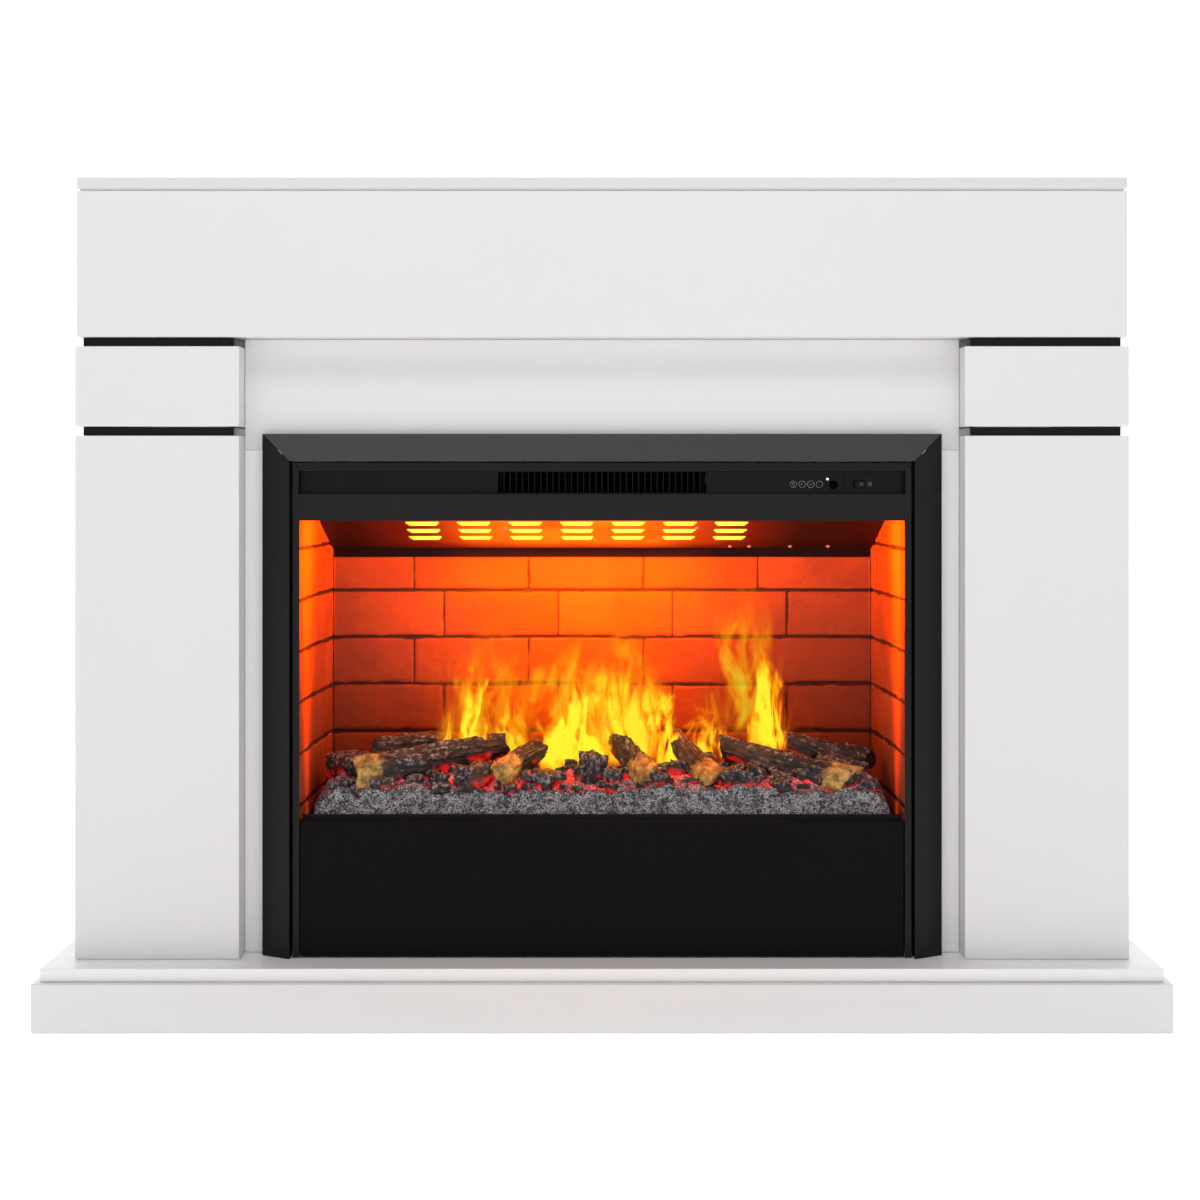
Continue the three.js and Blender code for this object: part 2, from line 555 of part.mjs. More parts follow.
// Firebox lining: a rear brick panel and two side panels that bend in towards it and follow the ceiling.
const liningZ = FLOOR_Z + SHEET + 0.8;
const brickBackY = [FIREBOX_REAR_Y, FIREBOX_REAR_Y + BRICK_THICK];
add(insert, "brick_back", box([-BRICK_BACK_X, BRICK_BACK_X], brickBackY, [liningZ, BRICK_TOP]), BRICK);
for (const [side, sign] of SIDES) {
  const front = -19;
  const rear = FIREBOX_REAR_Y - GAP;
  const plan = [[WINDOW_X + 0.5, front], [WINDOW_X - 0.5, 90], [BRICK_BACK_X + 0.5, rear]];
  const back = plan.map(([x, y]) => [x + 8, y]).reverse();
  const panel = alongZ(outline([...plan, ...back].map(([x, y]) => [sign * x, y])), [liningZ, CEILING_Z - GAP]);
  const overSlope = outline([
    [CEILING_BEND_Y - 1, CEILING_Z + 5],
    [CEILING_BEND_Y - 1, CEILING_Z - GAP],
    [rear + 5, CEILING_REAR_Z - 3],
    [rear + 5, CEILING_Z + 5],
  ]);
  const slopeCutter = alongX(overSlope, sideSpan(sign, BRICK_BACK_X - 30, CASING_X));
  add(insert, `brick_${side}`, cut(panel, slopeCutter), BRICK);
}

// Casing: a folded wrap over the sides and top with a front flange, a rear plate, and a floor with drawer guides.
function casingWrap() {
  const front = -7;
  const low = 3;
  const inner = CASING_X - SHEET;
  const hoop = outline([
    [-CASING_X, low],
    [-inner, low],
    [-inner, CASING_TOP - SHEET],
    [inner, CASING_TOP - SHEET],
    [inner, low],
    [CASING_X, low],
    [CASING_X, CASING_TOP],
    [-CASING_X, CASING_TOP],
  ]);
  const flange = 14;
  const flangeY = [front, front + SHEET];
  const sideFlange = ([, sign]) => box(sideSpan(sign, CASING_X - flange, CASING_X), flangeY, [low, CASING_TOP]);
  const sideFlanges = SIDES.map(sideFlange);
  const topFlange = box([-CASING_X, CASING_X], flangeY, [CASING_TOP - 10, CASING_TOP]);
  return join(alongY(hoop, [front, CASING_REAR_Y]), ...sideFlanges, topFlange);
}
add(insert, "casing_wrap", casingWrap(), ZINC);

const INLET = { x: [286, 314], z: [60, 80], y: [CASING_REAR_Y + SHEET + 2 * GAP, CASING_REAR_Y + 16] };
function casingBack() {
  const plateY = [CASING_REAR_Y + GAP, CASING_REAR_Y + GAP + SHEET];
  const vents = [];
  for (const centre of [-180, 180]) {
    for (let i = 0; i < 8; i++) {
      const z = 400 + i * 14;
      vents.push(box([centre - 45, centre + 45], [plateY[0] - 5, plateY[1] + 5], [z, z + 5]));
    }
  }
  return cut(box([-CASING_X, CASING_X], plateY, [3, CASING_TOP]), ...vents);
}
add(insert, "casing_back", casingBack(), ZINC);

function casingFloor() {
  const top = 3 + SHEET;
  const inner = CASING_X - SHEET - GAP;
  const guides = SIDES.flatMap(([, sign]) => [
    box(sideSpan(sign, TRAY_X + 2, TRAY_X + 5), [-5, 240], [top - 1, 30]),
    box(sideSpan(sign, 300, 310), [-5, 240], [top - 1, TRAY_Z[0] - GAP]),
  ]);
  return join(box([-inner, inner], [-5, CASING_REAR_Y], [3, top]), ...guides);
}
add(insert, "casing_floor", casingFloor(), ZINC);

function cordInlet() {
  const [x0, x1] = INLET.x;
  const [y0, y1] = INLET.y;
  const [z0, z1] = INLET.z;
  const wall = 2;
  const pinZ = z0 + 7;
  const block = box(INLET.x, INLET.y, INLET.z);
  const well = box([x0 + wall, x1 - wall], [y0 + wall, y1 + 1], [z0 + wall, z1 - wall]);
  const pin = (dx) => box([x0 + dx - 1, x0 + dx + 1], [y0 + wall - 1, y1 - 2], [pinZ - 2, pinZ + 2]);
  const pins = [7, 14, 21].map(pin);
  return join(cut(block, well), ...pins);
}
add(insert, "cord_inlet", cordInlet(), BLACK_PLASTIC);

// Floor of the firebox, with windows that let light and mist up, and the lamp bar below them.
const WINDOW_PITCH = 140;
const WINDOW_SPOTS = [-2, -1, 0, 1, 2].map((i) => i * WINDOW_PITCH);
function bedTray() {
  const sheetZ = [FLOOR_Z, FLOOR_Z + SHEET];
  const plate = box([2 - BEZEL_X, BEZEL_X - 2], [-8, FIREBOX_REAR_Y + BRICK_THICK], sheetZ);
  const lip = box([1 - WINDOW_X, WINDOW_X - 1], [-8, SHEET - 8], [FLOOR_Z, FLOOR_Z + 12]);
  const windows = WINDOW_SPOTS.map((x) => box([x - 55, x + 55], [30, 100], [FLOOR_Z - 5, FLOOR_Z + 5]));
  return cut(join(plate, lip), ...windows);
}
add(insert, "bed_tray", bedTray(), BLACK_STEEL);

function lampBar() {
  const barZ = [141, 143];
  const legs = [[-330, -328], [328, 330]].map((x) => box(x, [54, 76], [barZ[0], FLOOR_Z - GAP]));
  const lamps = WINDOW_SPOTS.map((x) => rod("z", 11, [142, 154], [x, 65], 20, 8));
  return join(box([-330, 330], [54, 76], barZ), ...legs, ...lamps);
}
add(insert, "lamp_bar", lampBar(), ZINC);

// Fuel bed: an ash and ember moulding, hollowed where the logs lie in it. Each log runs from one end to the other.
const LOGS = [
  { name: "log_front_left", from: [-306, 34, 216], to: [-130, 100, 238], radii: [24, 17] },
  { name: "log_back_left", from: [-300, 125, 232], to: [-190, 132, 238], radii: [16, 13] },
  { name: "log_centre_left", from: [-130, 30, 206], to: [-76, 92, 243], radii: [18, 12] },
  { name: "log_centre_right", from: [58, 30, 204], to: [20, 96, 252], radii: [21, 14] },
  { name: "log_right_leaning", from: [140, 30, 203], to: [90, 100, 260], radii: [18, 11] },
  { name: "log_front_right", from: [312, 34, 207], to: [156, 100, 238], radii: [22, 17] },
  { name: "log_back_right", from: [346, 118, 216], to: [222, 133, 238], radii: [21, 15] },
];

function logGeometry({ from, to, radii }, swell = 0) {
  const start = new THREE.Vector3(...from);
  const run = new THREE.Vector3(...to).sub(start);
  const length = run.length() + 2 * swell;
  const log = new THREE.CylinderGeometry(radii[1] + swell, radii[0] + swell, length, 12);
  const turn = new THREE.Quaternion().setFromUnitVectors(axis(0, 1, 0), run.clone().normalize());
  const middle = start.add(run.multiplyScalar(0.5));
  return log.applyQuaternion(turn).translate(middle.x, middle.y, middle.z);
}

function emberBed() {
  const profile = outline([
    [2, liningZ],
    [165, liningZ],
    [165, 196],
    [125, 216],
    [60, 210],
    [18, 196],
    [4, 186],
  ]);
  return cut(alongX(profile, [-358, 358]), ...LOGS.map((log) => logGeometry(log, 2 * GAP)));
}
add(insert, "ember_bed", emberBed(), ASH);
for (const log of LOGS) add(insert, log.name, logGeometry(log), WOOD);

// ---- The drawer, which slides out below the firebox with the water tank and the mist maker ----
const drawer = new THREE.Group();
function drawerFront() {
  const face = box([-DRAWER_X, DRAWER_X], [BEZEL_Y, BEZEL_Y + SHEET], [DRAWER_BOTTOM, DRAWER_TOP]);
  const flangeY = [BEZEL_Y, -13];
  const topFlange = box([-DRAWER_X, DRAWER_X], flangeY, [DRAWER_TOP - SHEET, DRAWER_TOP]);
  const bottomFlange = box([-DRAWER_X, DRAWER_X], flangeY, [DRAWER_BOTTOM, DRAWER_BOTTOM + SHEET]);
  return join(face, topFlange, bottomFlange);
}
add(drawer, "drawer_front", drawerFront(), BLACK_STEEL);

function drawerTray() {
  const inner = TRAY_X - TRAY_WALL;
  const outside = box([-TRAY_X, TRAY_X], TRAY_Y, TRAY_Z);
  const bayY = [TRAY_Y[0] + TRAY_WALL, TRAY_Y[1] - TRAY_WALL];
  const bay = box([-inner, inner], bayY, [TRAY_Z[0] + TRAY_WALL, TRAY_Z[1] + 5]);
  return cut(outside, bay);
}
add(drawer, "drawer_tray", drawerTray(), BLACK_PLASTIC);

const CONTENT_Z = TRAY_Z[0] + TRAY_WALL + GAP;
const TANK = { x: [44, 330], y: [4, 180], top: 126, corner: 18, neckAt: [110, 60], neckRadius: 14 };
function waterTank() {
  const [x0, x1] = TANK.x;
  const [y0, y1] = TANK.y;
  const r = TANK.corner;
  const body = new THREE.Shape()
    .moveTo(x0 + r, y0)
    .absarc(x1 - r, y0 + r, r, -Math.PI / 2, 0)
    .absarc(x1 - r, y1 - r, r, 0, Math.PI / 2)
    .absarc(x0 + r, y1 - r, r, Math.PI / 2, Math.PI)
    .absarc(x0 + r, y0 + r, r, Math.PI, 1.5 * Math.PI);
  const neck = rod("z", TANK.neckRadius, [TANK.top - 2, TANK.top + 6], TANK.neckAt);
  return join(alongZ(body, [CONTENT_Z, TANK.top]), neck);
}
add(drawer, "water_tank", waterTank(), CLEAR_TANK);
const capBody = rod("z", 19, [TANK.top + GAP, TANK.top + 11], TANK.neckAt);
const capWell = rod("z", TANK.neckRadius + GAP, [TANK.top - 1, TANK.top + 6 + GAP], TANK.neckAt);
add(drawer, "tank_cap", cut(capBody, capWell), BLACK_PLASTIC);

// Mist maker: a sump with a tall slot nozzle, and a square fan port on its left side.
const MIST = { sumpX: [-190, 30], sumpY: [20, 150], sumpTop: 62, nozzleX: [-160, 0], nozzleY: [58, 98], top: 137 };
const FAN = { x: [-214, -190], y: 85, z: 41, half: 27, bore: 23, tip: 21, hub: 8 };
function mistUnit() {
  const wall = 4;
  const [nx0, nx1] = MIST.nozzleX;
  const [ny0, ny1] = MIST.nozzleY;
  const sump = box(MIST.sumpX, MIST.sumpY, [CONTENT_Z, MIST.sumpTop]);
  const nozzle = box(MIST.nozzleX, MIST.nozzleY, [MIST.sumpTop - 2, MIST.top]);
  const fanSpan = (middle) => [middle - FAN.half, middle + FAN.half];
  const fanFrame = box([FAN.x[0], FAN.x[1] + 1], fanSpan(FAN.y), fanSpan(FAN.z));
  const slot = box([nx0 + wall, nx1 - wall], [ny0 + wall, ny1 - wall], [CONTENT_Z + 8, MIST.top + 5]);
  const fanBore = rod("x", FAN.bore, [FAN.x[0] - 5, FAN.x[1]], [FAN.y, FAN.z]);
  return cut(join(sump, nozzle, fanFrame), slot, fanBore);
}
add(drawer, "mist_unit", mistUnit(), BLACK_PLASTIC);

function mistFanRotor() {
  const BLADES = 7;
  const depth = 12;
  const parts = [rod("x", FAN.hub, [-depth / 2, depth / 2], [0, 0], 20)];
  for (let i = 0; i < BLADES; i++) {
    const blade = box([-4.5, 4.5], [FAN.hub - 1, FAN.tip], [-0.6, 0.6]).rotateY(degrees(35));
    parts.push(blade.rotateX((2 * Math.PI * i) / BLADES));
  }
  return join(...parts);
}
add(drawer, "mist_fan_rotor", mistFanRotor(), BLACK_PLASTIC, [(FAN.x[0] + FAN.x[1]) / 2, FAN.y, FAN.z]);
insert.add(drawer);

// ---- The whole object, with its origin under the middle of its footprint ----
const fireplace = new THREE.Group();
const placed = new THREE.Group();
placed.position.y = -(BASE_FRONT_Y + REAR_Y) / 2;
placed.add(surround, insert);
fireplace.add(placed);

export default fireplace;
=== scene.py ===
import math
import random

import bmesh
import bpy
import numpy as np
from mathutils import Matrix, Vector, noise
from mathutils.bvhtree import BVHTree


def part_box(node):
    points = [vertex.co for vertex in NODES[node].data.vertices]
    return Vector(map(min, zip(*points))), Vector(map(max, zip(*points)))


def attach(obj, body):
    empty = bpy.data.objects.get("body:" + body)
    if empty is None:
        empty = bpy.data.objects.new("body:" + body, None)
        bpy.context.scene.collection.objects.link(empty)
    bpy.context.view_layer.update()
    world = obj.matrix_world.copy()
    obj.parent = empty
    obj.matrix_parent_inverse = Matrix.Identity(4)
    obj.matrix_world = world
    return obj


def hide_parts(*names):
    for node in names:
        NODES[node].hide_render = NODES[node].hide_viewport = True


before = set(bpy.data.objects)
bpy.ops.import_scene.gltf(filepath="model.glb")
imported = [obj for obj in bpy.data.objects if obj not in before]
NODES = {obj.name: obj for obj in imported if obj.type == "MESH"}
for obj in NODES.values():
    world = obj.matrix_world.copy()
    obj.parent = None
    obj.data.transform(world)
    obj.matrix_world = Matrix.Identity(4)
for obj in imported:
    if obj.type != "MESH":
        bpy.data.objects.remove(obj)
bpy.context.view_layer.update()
ROOT = "fireplace"

# ---- Places taken from the design, in metres ----
RECESS_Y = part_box("header_panel")[0].y  # face of the recessed header panel
SHELF_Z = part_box("column_left")[0].z  # top of the plinth
BACK_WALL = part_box("brick_back")
SIDE_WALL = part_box("brick_right")
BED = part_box("ember_bed")
BRICK_PITCH = (0.1545, 0.0634)
MORTAR = 0.0048
BRICK_OFFSET = 0.0396
BRICK_START = 0.0557  # the rear wall's joints, counted from its middle
COURSE_TOP = BACK_WALL[1].z - 0.0444  # lowest mortar line of the top course
SLOPE = math.radians(23.9)
SLOPE_REAR = Vector((0, RECESS_Y + 0.210, SHELF_Z + 0.4927))
LOUVRE_X = [-0.033 + i * 0.0674 for i in range(-3, 4)]
LOUVRE_ROWS = [0.0345, 0.0591, 0.0837]
KEYS = ("standby", "flame", "heat_low", "heat_high")
MARK_RISE = 0.00012  # printed marks stand this far off a face


# ---- Camera and studio ----
def make_camera():
    data = bpy.data.cameras.new("camera")
    data.lens = 55.8
    data.sensor_width = 36
    data.shift_x = -0.0017
    data.shift_y = -0.0978
    camera = bpy.data.objects.new("camera", data)
    camera.location = (0, RECESS_Y - 2.3, 0.655)
    camera.rotation_euler = (math.pi / 2, 0, 0)
    bpy.context.collection.objects.link(camera)
    bpy.context.scene.camera = camera


def area_light(name, at, towards, size, power, colour=(1, 1, 1), spread=180):
    data = bpy.data.lights.new(name, "AREA")
    data.shape = "RECTANGLE"
    data.size, data.size_y = size
    data.energy = power
    data.color = colour
    data.spread = math.radians(spread)
    light = bpy.data.objects.new(name, data)
    light.location = at
    light.rotation_mode = "QUATERNION"
    light.rotation_quaternion = (Vector(towards) - Vector(at)).to_track_quat("-Z", "Y")
    light.visible_camera = False
    bpy.context.collection.objects.link(light)
    return light


def point_light(name, at, power, colour, radius):
    data = bpy.data.lights.new(name, "POINT")
    data.energy = power
    data.color = colour
    data.shadow_soft_size = radius
    light = bpy.data.objects.new(name, data)
    light.location = at
    bpy.context.collection.objects.link(light)
    return light


def make_studio():
    world = bpy.data.worlds.new("studio")
    bpy.context.scene.world = world
    world.use_nodes = True
    tree = world.node_tree
    height = tree.nodes.new("ShaderNodeSeparateXYZ")
    tree.links.new(tree.nodes.new("ShaderNodeTexCoord").outputs["Generated"], height.inputs[0])
    ramp = tree.nodes.new("ShaderNodeValToRGB")
    tree.links.new(height.outputs["Z"], ramp.inputs["Fac"])
    tree.links.new(ramp.outputs[0], tree.nodes["Background"].inputs["Color"])
    for element, position, grey in zip(ramp.color_ramp.elements, (0.07, 0.32), (1.0, 0.20)):
        element.position = position
        element.color = (grey, grey, grey, 1)
    tree.nodes["Background"].inputs["Strength"].default_value = 1.0
    bpy.context.scene.view_settings.view_transform = "Standard"
    area_light("key", (-0.2, -1.9, 3.5), (0, 0, 0.4), (3.8, 0.8), 46)
    area_light("fill", (0.2, -4.4, 1.1), (0, 0, 0.5), (1.8, 1.4), 7)
    area_light("back", (0, 3.4, 2.2), (0, 0, 0.5), (2.5, 2.0), 22)
    floor = stage_sheet("floor", [(-40, -40), (40, -40), (40, 40), (-40, 40)], studio_floor())
    floor.location.z = -0.0005
    backdrop = stage_sheet("backdrop", [(-30, 0), (30, 0), (30, 30), (-30, 30)], studio_backdrop())
    backdrop.rotation_euler = (math.pi / 2, 0, 0)
    backdrop.location = (0, 9, -0.01)


def stage_sheet(name, corners, material):
    mesh = bpy.data.meshes.new(name)
    mesh.from_pydata([(x, y, 0) for x, y in corners], [], [(0, 1, 2, 3)])
    sheet = bpy.data.objects.new(name, mesh)
    bpy.context.collection.objects.link(sheet)
    mesh.materials.append(material)
    return sheet


# ---- Node helpers ----
class Look:
    """A material and short calls that add nodes to it."""

    def __init__(self, name):
        self.material = bpy.data.materials.new(name)
        self.material.use_nodes = True
        self.tree = self.material.node_tree
        self.shader = self.tree.nodes["Principled BSDF"]
        self.output = self.tree.nodes["Material Output"]
        self.coords = self.tree.nodes.new("ShaderNodeTexCoord").outputs["Object"]

    def node(self, kind, values=None, **settings):
        made = self.tree.nodes.new(kind)
        for key, value in settings.items():
            setattr(made, key, value)
        for key, value in (values or {}).items():
            self.put(made.inputs[key], value)
        return made

    def put(self, socket, value):
        if isinstance(value, bpy.types.NodeSocket):
            self.tree.links.new(value, socket)
        elif isinstance(value, tuple) and len(value) == 3 and len(socket.default_value) == 4:
            socket.default_value = (*value, 1)
        else:
            socket.default_value = value

    def set(self, **values):
        for key, value in values.items():
            self.put(self.shader.inputs[key.replace("_", " ")], value)

    def scaled(self, scale):
        return self.node("ShaderNodeMapping", {"Vector": self.coords, "Scale": scale}).outputs[0]

    def noise(self, scale, detail=4, roughness=0.55, vector=None, distortion=0.0, kind="FBM"):
        values = {"Vector": vector or self.coords, "Scale": scale, "Detail": detail, "Roughness": roughness}
        made = self.node("ShaderNodeTexNoise", values, noise_type=kind)
        made.inputs["Distortion"].default_value = distortion
        return made.outputs[0]

    def voronoi(self, scale, vector=None, feature="F1"):
        values = {"Vector": vector or self.coords, "Scale": scale}
        return self.node("ShaderNodeTexVoronoi", values, feature=feature).outputs["Distance"]

    def ramp(self, value, stops):
        made = self.node("ShaderNodeValToRGB", {"Fac": value})
        elements = made.color_ramp.elements
        while len(elements) < len(stops):
            elements.new(0.5)
        for element, (at, colour) in zip(elements, stops):
            element.position = at
            element.color = (*colour, 1)
        return made.outputs[0]

    def range(self, value, low, high, to_low=0.0, to_high=1.0):
        values = {"Value": value, "From Min": low, "From Max": high, "To Min": to_low, "To Max": to_high}
        return self.node("ShaderNodeMapRange", values, interpolation_type="SMOOTHSTEP").outputs[0]

    def math(self, kind, a, b=0.0):
        made = self.node("ShaderNodeMath", operation=kind)
        self.put(made.inputs[0], a)
        self.put(made.inputs[1], b)
        return made.outputs[0]

    def mix(self, amount, a, b, blend="MIX"):
        made = self.node("ShaderNodeMix", data_type="RGBA", blend_type=blend)
        self.put(made.inputs[0], amount)
        self.put(made.inputs[6], a)
        self.put(made.inputs[7], b)
        return made.outputs[2]

    def attribute(self, name):
        return self.node("ShaderNodeAttribute", attribute_name=name).outputs["Fac"]

    def axis(self, name):
        return self.node("ShaderNodeSeparateXYZ", {"Vector": self.coords}).outputs[name]

    def bump(self, height, strength, distance):
        values = {"Height": height, "Strength": strength, "Distance": distance}
        return self.node("ShaderNodeBump", values).outputs[0]


# ---- Materials ----
def studio_floor():
    look = Look("studio_floor")
    look.set(Base_Color=(0.9, 0.9, 0.9), Roughness=0.7, Emission_Color=(1, 1, 1), Emission_Strength=0.56)
    return look.material


def studio_backdrop():
    look = Look("studio_backdrop")
    look.set(Base_Color=(0.8, 0.8, 0.8), Roughness=0.9, Emission_Color=(1, 1, 1), Emission_Strength=0.8)
    return look.material


def painted_board(name="white_lacquer", tone=0.765):
    """Satin white lacquer over MDF, with the faint orange peel that a spray gun leaves."""
    look = Look(name)
    cloud = look.noise(3.0, 2)
    colour = look.mix(cloud, (tone, tone - 0.005, tone - 0.003), (tone + 0.02, tone + 0.015, tone + 0.017))
    peel = look.noise(420, 2, 0.4)
    grain = look.noise(60, 3)
    look.set(
        Base_Color=colour,
        Roughness=look.range(grain, 0.3, 0.7, 0.36, 0.44),
        Coat_Weight=0.15,
        Coat_Roughness=0.3,
        Normal=look.bump(peel, 0.06, 0.0004),
    )
    return look.material


def raw_board():
    """Unpainted MDF: tan felted fibres with darker specks."""
    look = Look("raw_board")
    fibre = look.noise(900, 5, 0.7)
    cloud = look.noise(25, 3)
    colour = look.mix(look.range(fibre, 0.3, 0.7), (0.36, 0.25, 0.15), (0.52, 0.39, 0.25))
    colour = look.mix(look.range(cloud, 0.3, 0.8, 0.0, 0.3), colour, (0.42, 0.31, 0.2))
    look.set(Base_Color=colour, Roughness=0.86, Normal=look.bump(fibre, 0.25, 0.0004))
    return look.material


def mottled(name, scale, detail, dark, light, rough, bump=None, **values):
    """A cloudy colour between dark and light, with a roughness that follows the same cloud."""
    look = Look(name)
    cloud = look.noise(scale, detail)
    if bump:
        values["Normal"] = look.bump(look.noise(*bump[:2]), *bump[2:])
    look.set(Base_Color=look.mix(cloud, dark, light), Roughness=look.range(cloud, 0.3, 0.7, *rough), **values)
    return look.material


def receiver_window():
    """Dark cover of the remote control's receiver."""
    dark, light = (0.0004, 0.0004, 0.0004), (0.0008, 0.0008, 0.0008)
    return mottled("receiver_window", 90, 2, dark, light, (0.5, 0.6), Specular_IOR_Level=0.02)


def gloss_board():
    dark, light = (0.003, 0.003, 0.0035), (0.006, 0.006, 0.0065)
    bump = (300, 2, 0.03, 0.0003)
    return mottled("black_gloss_board", 40, 3, dark, light, (0.28, 0.36), bump, Specular_IOR_Level=0.15)


def powder_coat(name, dark, light, specular, roughness):
    """Fine-textured black powder coat on sheet steel."""
    look = Look(name)
    grain = look.noise(1400, 3, 0.6)
    cloud = look.noise(6, 3)
    look.set(
        Base_Color=look.mix(cloud, dark, light),
        Roughness=look.range(grain, 0.3, 0.7, roughness - 0.05, roughness + 0.06),
        Specular_IOR_Level=specular,
        Normal=look.bump(grain, 0.16, 0.00025),
    )
    return look.material


def louvre_lit_coat():
    """The black coat of the sloping ceiling, with the heater's deep orange light round the louvres painted in
    as emission and as a red tint in its base colour.
    """
    look = Look("louvre_lit_coat")
    grain = look.noise(1400, 3, 0.6)
    # Painted light: orange glow, strongest in the middle and fading out at the sides and at the rear edge.
    x = look.math("ADD", look.axis("X"), 0.033)
    near = look.range(look.math("ABSOLUTE", x), 0.31, 0.05)
    bloom = look.range(look.axis("Z"), SLOPE_REAR.z - 0.012, SLOPE_REAR.z + 0.012)
    glow_amount = look.math("MULTIPLY", near, bloom)
    cloud = look.noise(14, 3)
    glow_amount = look.math("MULTIPLY", glow_amount, look.range(cloud, 0.2, 0.8, 0.8, 1.1))
    look.set(
        Base_Color=look.mix(cloud, (0.028, 0.005, 0.003), (0.045, 0.008, 0.004)),
        Roughness=look.range(grain, 0.3, 0.7, 0.5, 0.62),
        Specular_IOR_Level=0.2,
        Normal=look.bump(grain, 0.16, 0.00025),
        Emission_Color=look.ramp(
            glow_amount,
            [
                (0, (0.0, 0.0, 0.0)),
                (0.35, (0.22, 0.006, 0.0)),
                (0.75, (0.78, 0.07, 0.002)),
                (1, (1.0, 0.19, 0.002)),
            ],
        ),
        Emission_Strength=1.2,
    )
    return look.material


def moulded_plastic(name, colour, roughness):
    look = Look(name)
    grain = look.voronoi(1500)
    cloud = look.noise(30, 2)
    lighter = tuple(c * 1.4 + 0.002 for c in colour)
    look.set(
        Base_Color=look.mix(cloud, colour, lighter),
        Roughness=look.range(grain, 0.0, 0.8, roughness - 0.06, roughness + 0.06),
        Specular_IOR_Level=0.14,
        Normal=look.bump(grain, 0.12, 0.0002),
    )
    return look.material


def zinc_sheet():
    """Galvanised sheet with a spangle of crystals in slightly different greys."""
    look = Look("zinc_sheet")
    spangle = look.node("ShaderNodeTexVoronoi", {"Vector": look.coords, "Scale": 130.0}).outputs["Color"]
    tone = look.node("ShaderNodeRGBToBW", {"Color": spangle}).outputs[0]
    smear = look.noise(8, 4)
    look.set(
        Base_Color=look.mix(tone, (0.36, 0.37, 0.39), (0.47, 0.48, 0.50)),
        Metallic=1.0,
        Roughness=look.range(smear, 0.3, 0.7, 0.32, 0.5),
        Normal=look.bump(look.noise(700, 3), 0.08, 0.0003),
    )
    return look.material


def brick(name):
    """Moulded brick panel: red-brown faces, sunk dark mortar, pits, hairline cracks and a sandy grain, with
    the heater's orange light painted on as a yellow tint and as emission.
    """
    look = Look(name)
    mortar = look.attribute("mortar")
    tone = look.attribute("tone")
    cloud = look.noise(16, 5, 0.62)
    grain = look.noise(330, 4, 0.7)
    face = look.mix(tone, (0.225, 0.052, 0.023), (0.285, 0.072, 0.030))
    face = look.mix(look.range(cloud, 0.35, 0.72, 0.0, 0.6), face, (0.16, 0.046, 0.027))
    face = look.mix(look.range(grain, 0.56, 0.75, 0.0, 0.4), face, (0.32, 0.10, 0.045))
    pits = look.range(look.voronoi(120, look.scaled((1, 1, 1.5))), 0.03, 0.15)
    cracks = look.range(look.noise(26, 4, 0.6, kind="RIDGED_MULTIFRACTAL"), 1.25, 1.5, 1.0, 0.0)
    # Painted shade: pits and hairline cracks are painted dark, as the shade in these hollows.
    pit_shade_and_sawn_end = look.math("MULTIPLY", pits, cracks)
    face = look.mix(pit_shade_and_sawn_end, (0.05, 0.018, 0.012), face)
    colour = look.mix(look.range(mortar, 0.25, 0.8), face, (0.036, 0.017, 0.014))
    # Painted light: the heater's orange light is painted onto the bricks as a yellow tint on the base colour
    # and as emission.
    painted_lining_light = look.attribute("painted_lining_light")
    painted_yellow_tint = look.mix(1.0, colour, (1.0, 0.85, 0.15), "MULTIPLY")
    colour = look.mix(look.range(painted_lining_light, 0.05, 0.6), colour, painted_yellow_tint)
    lit = look.mix(look.range(painted_lining_light, 0.3, 1.5), (1.0, 0.19, 0.002), (1.0, 0.24, 0.002))
    painted_glow_colour = look.mix(1.0, look.mix(1.0, colour, lit, "MULTIPLY"), painted_lining_light, "MULTIPLY")
    relief = look.math("ADD", look.math("MULTIPLY", grain, 0.6), look.math("MULTIPLY", pit_shade_and_sawn_end, 0.6))
    look.set(
        Base_Color=colour,
        Roughness=look.range(grain, 0.3, 0.7, 0.6, 0.85),
        Specular_IOR_Level=0.18,
        Normal=look.bump(relief, 0.75, 0.0016),
        Emission_Color=painted_glow_colour,
        Emission_Strength=13.0,
    )
    return look.material


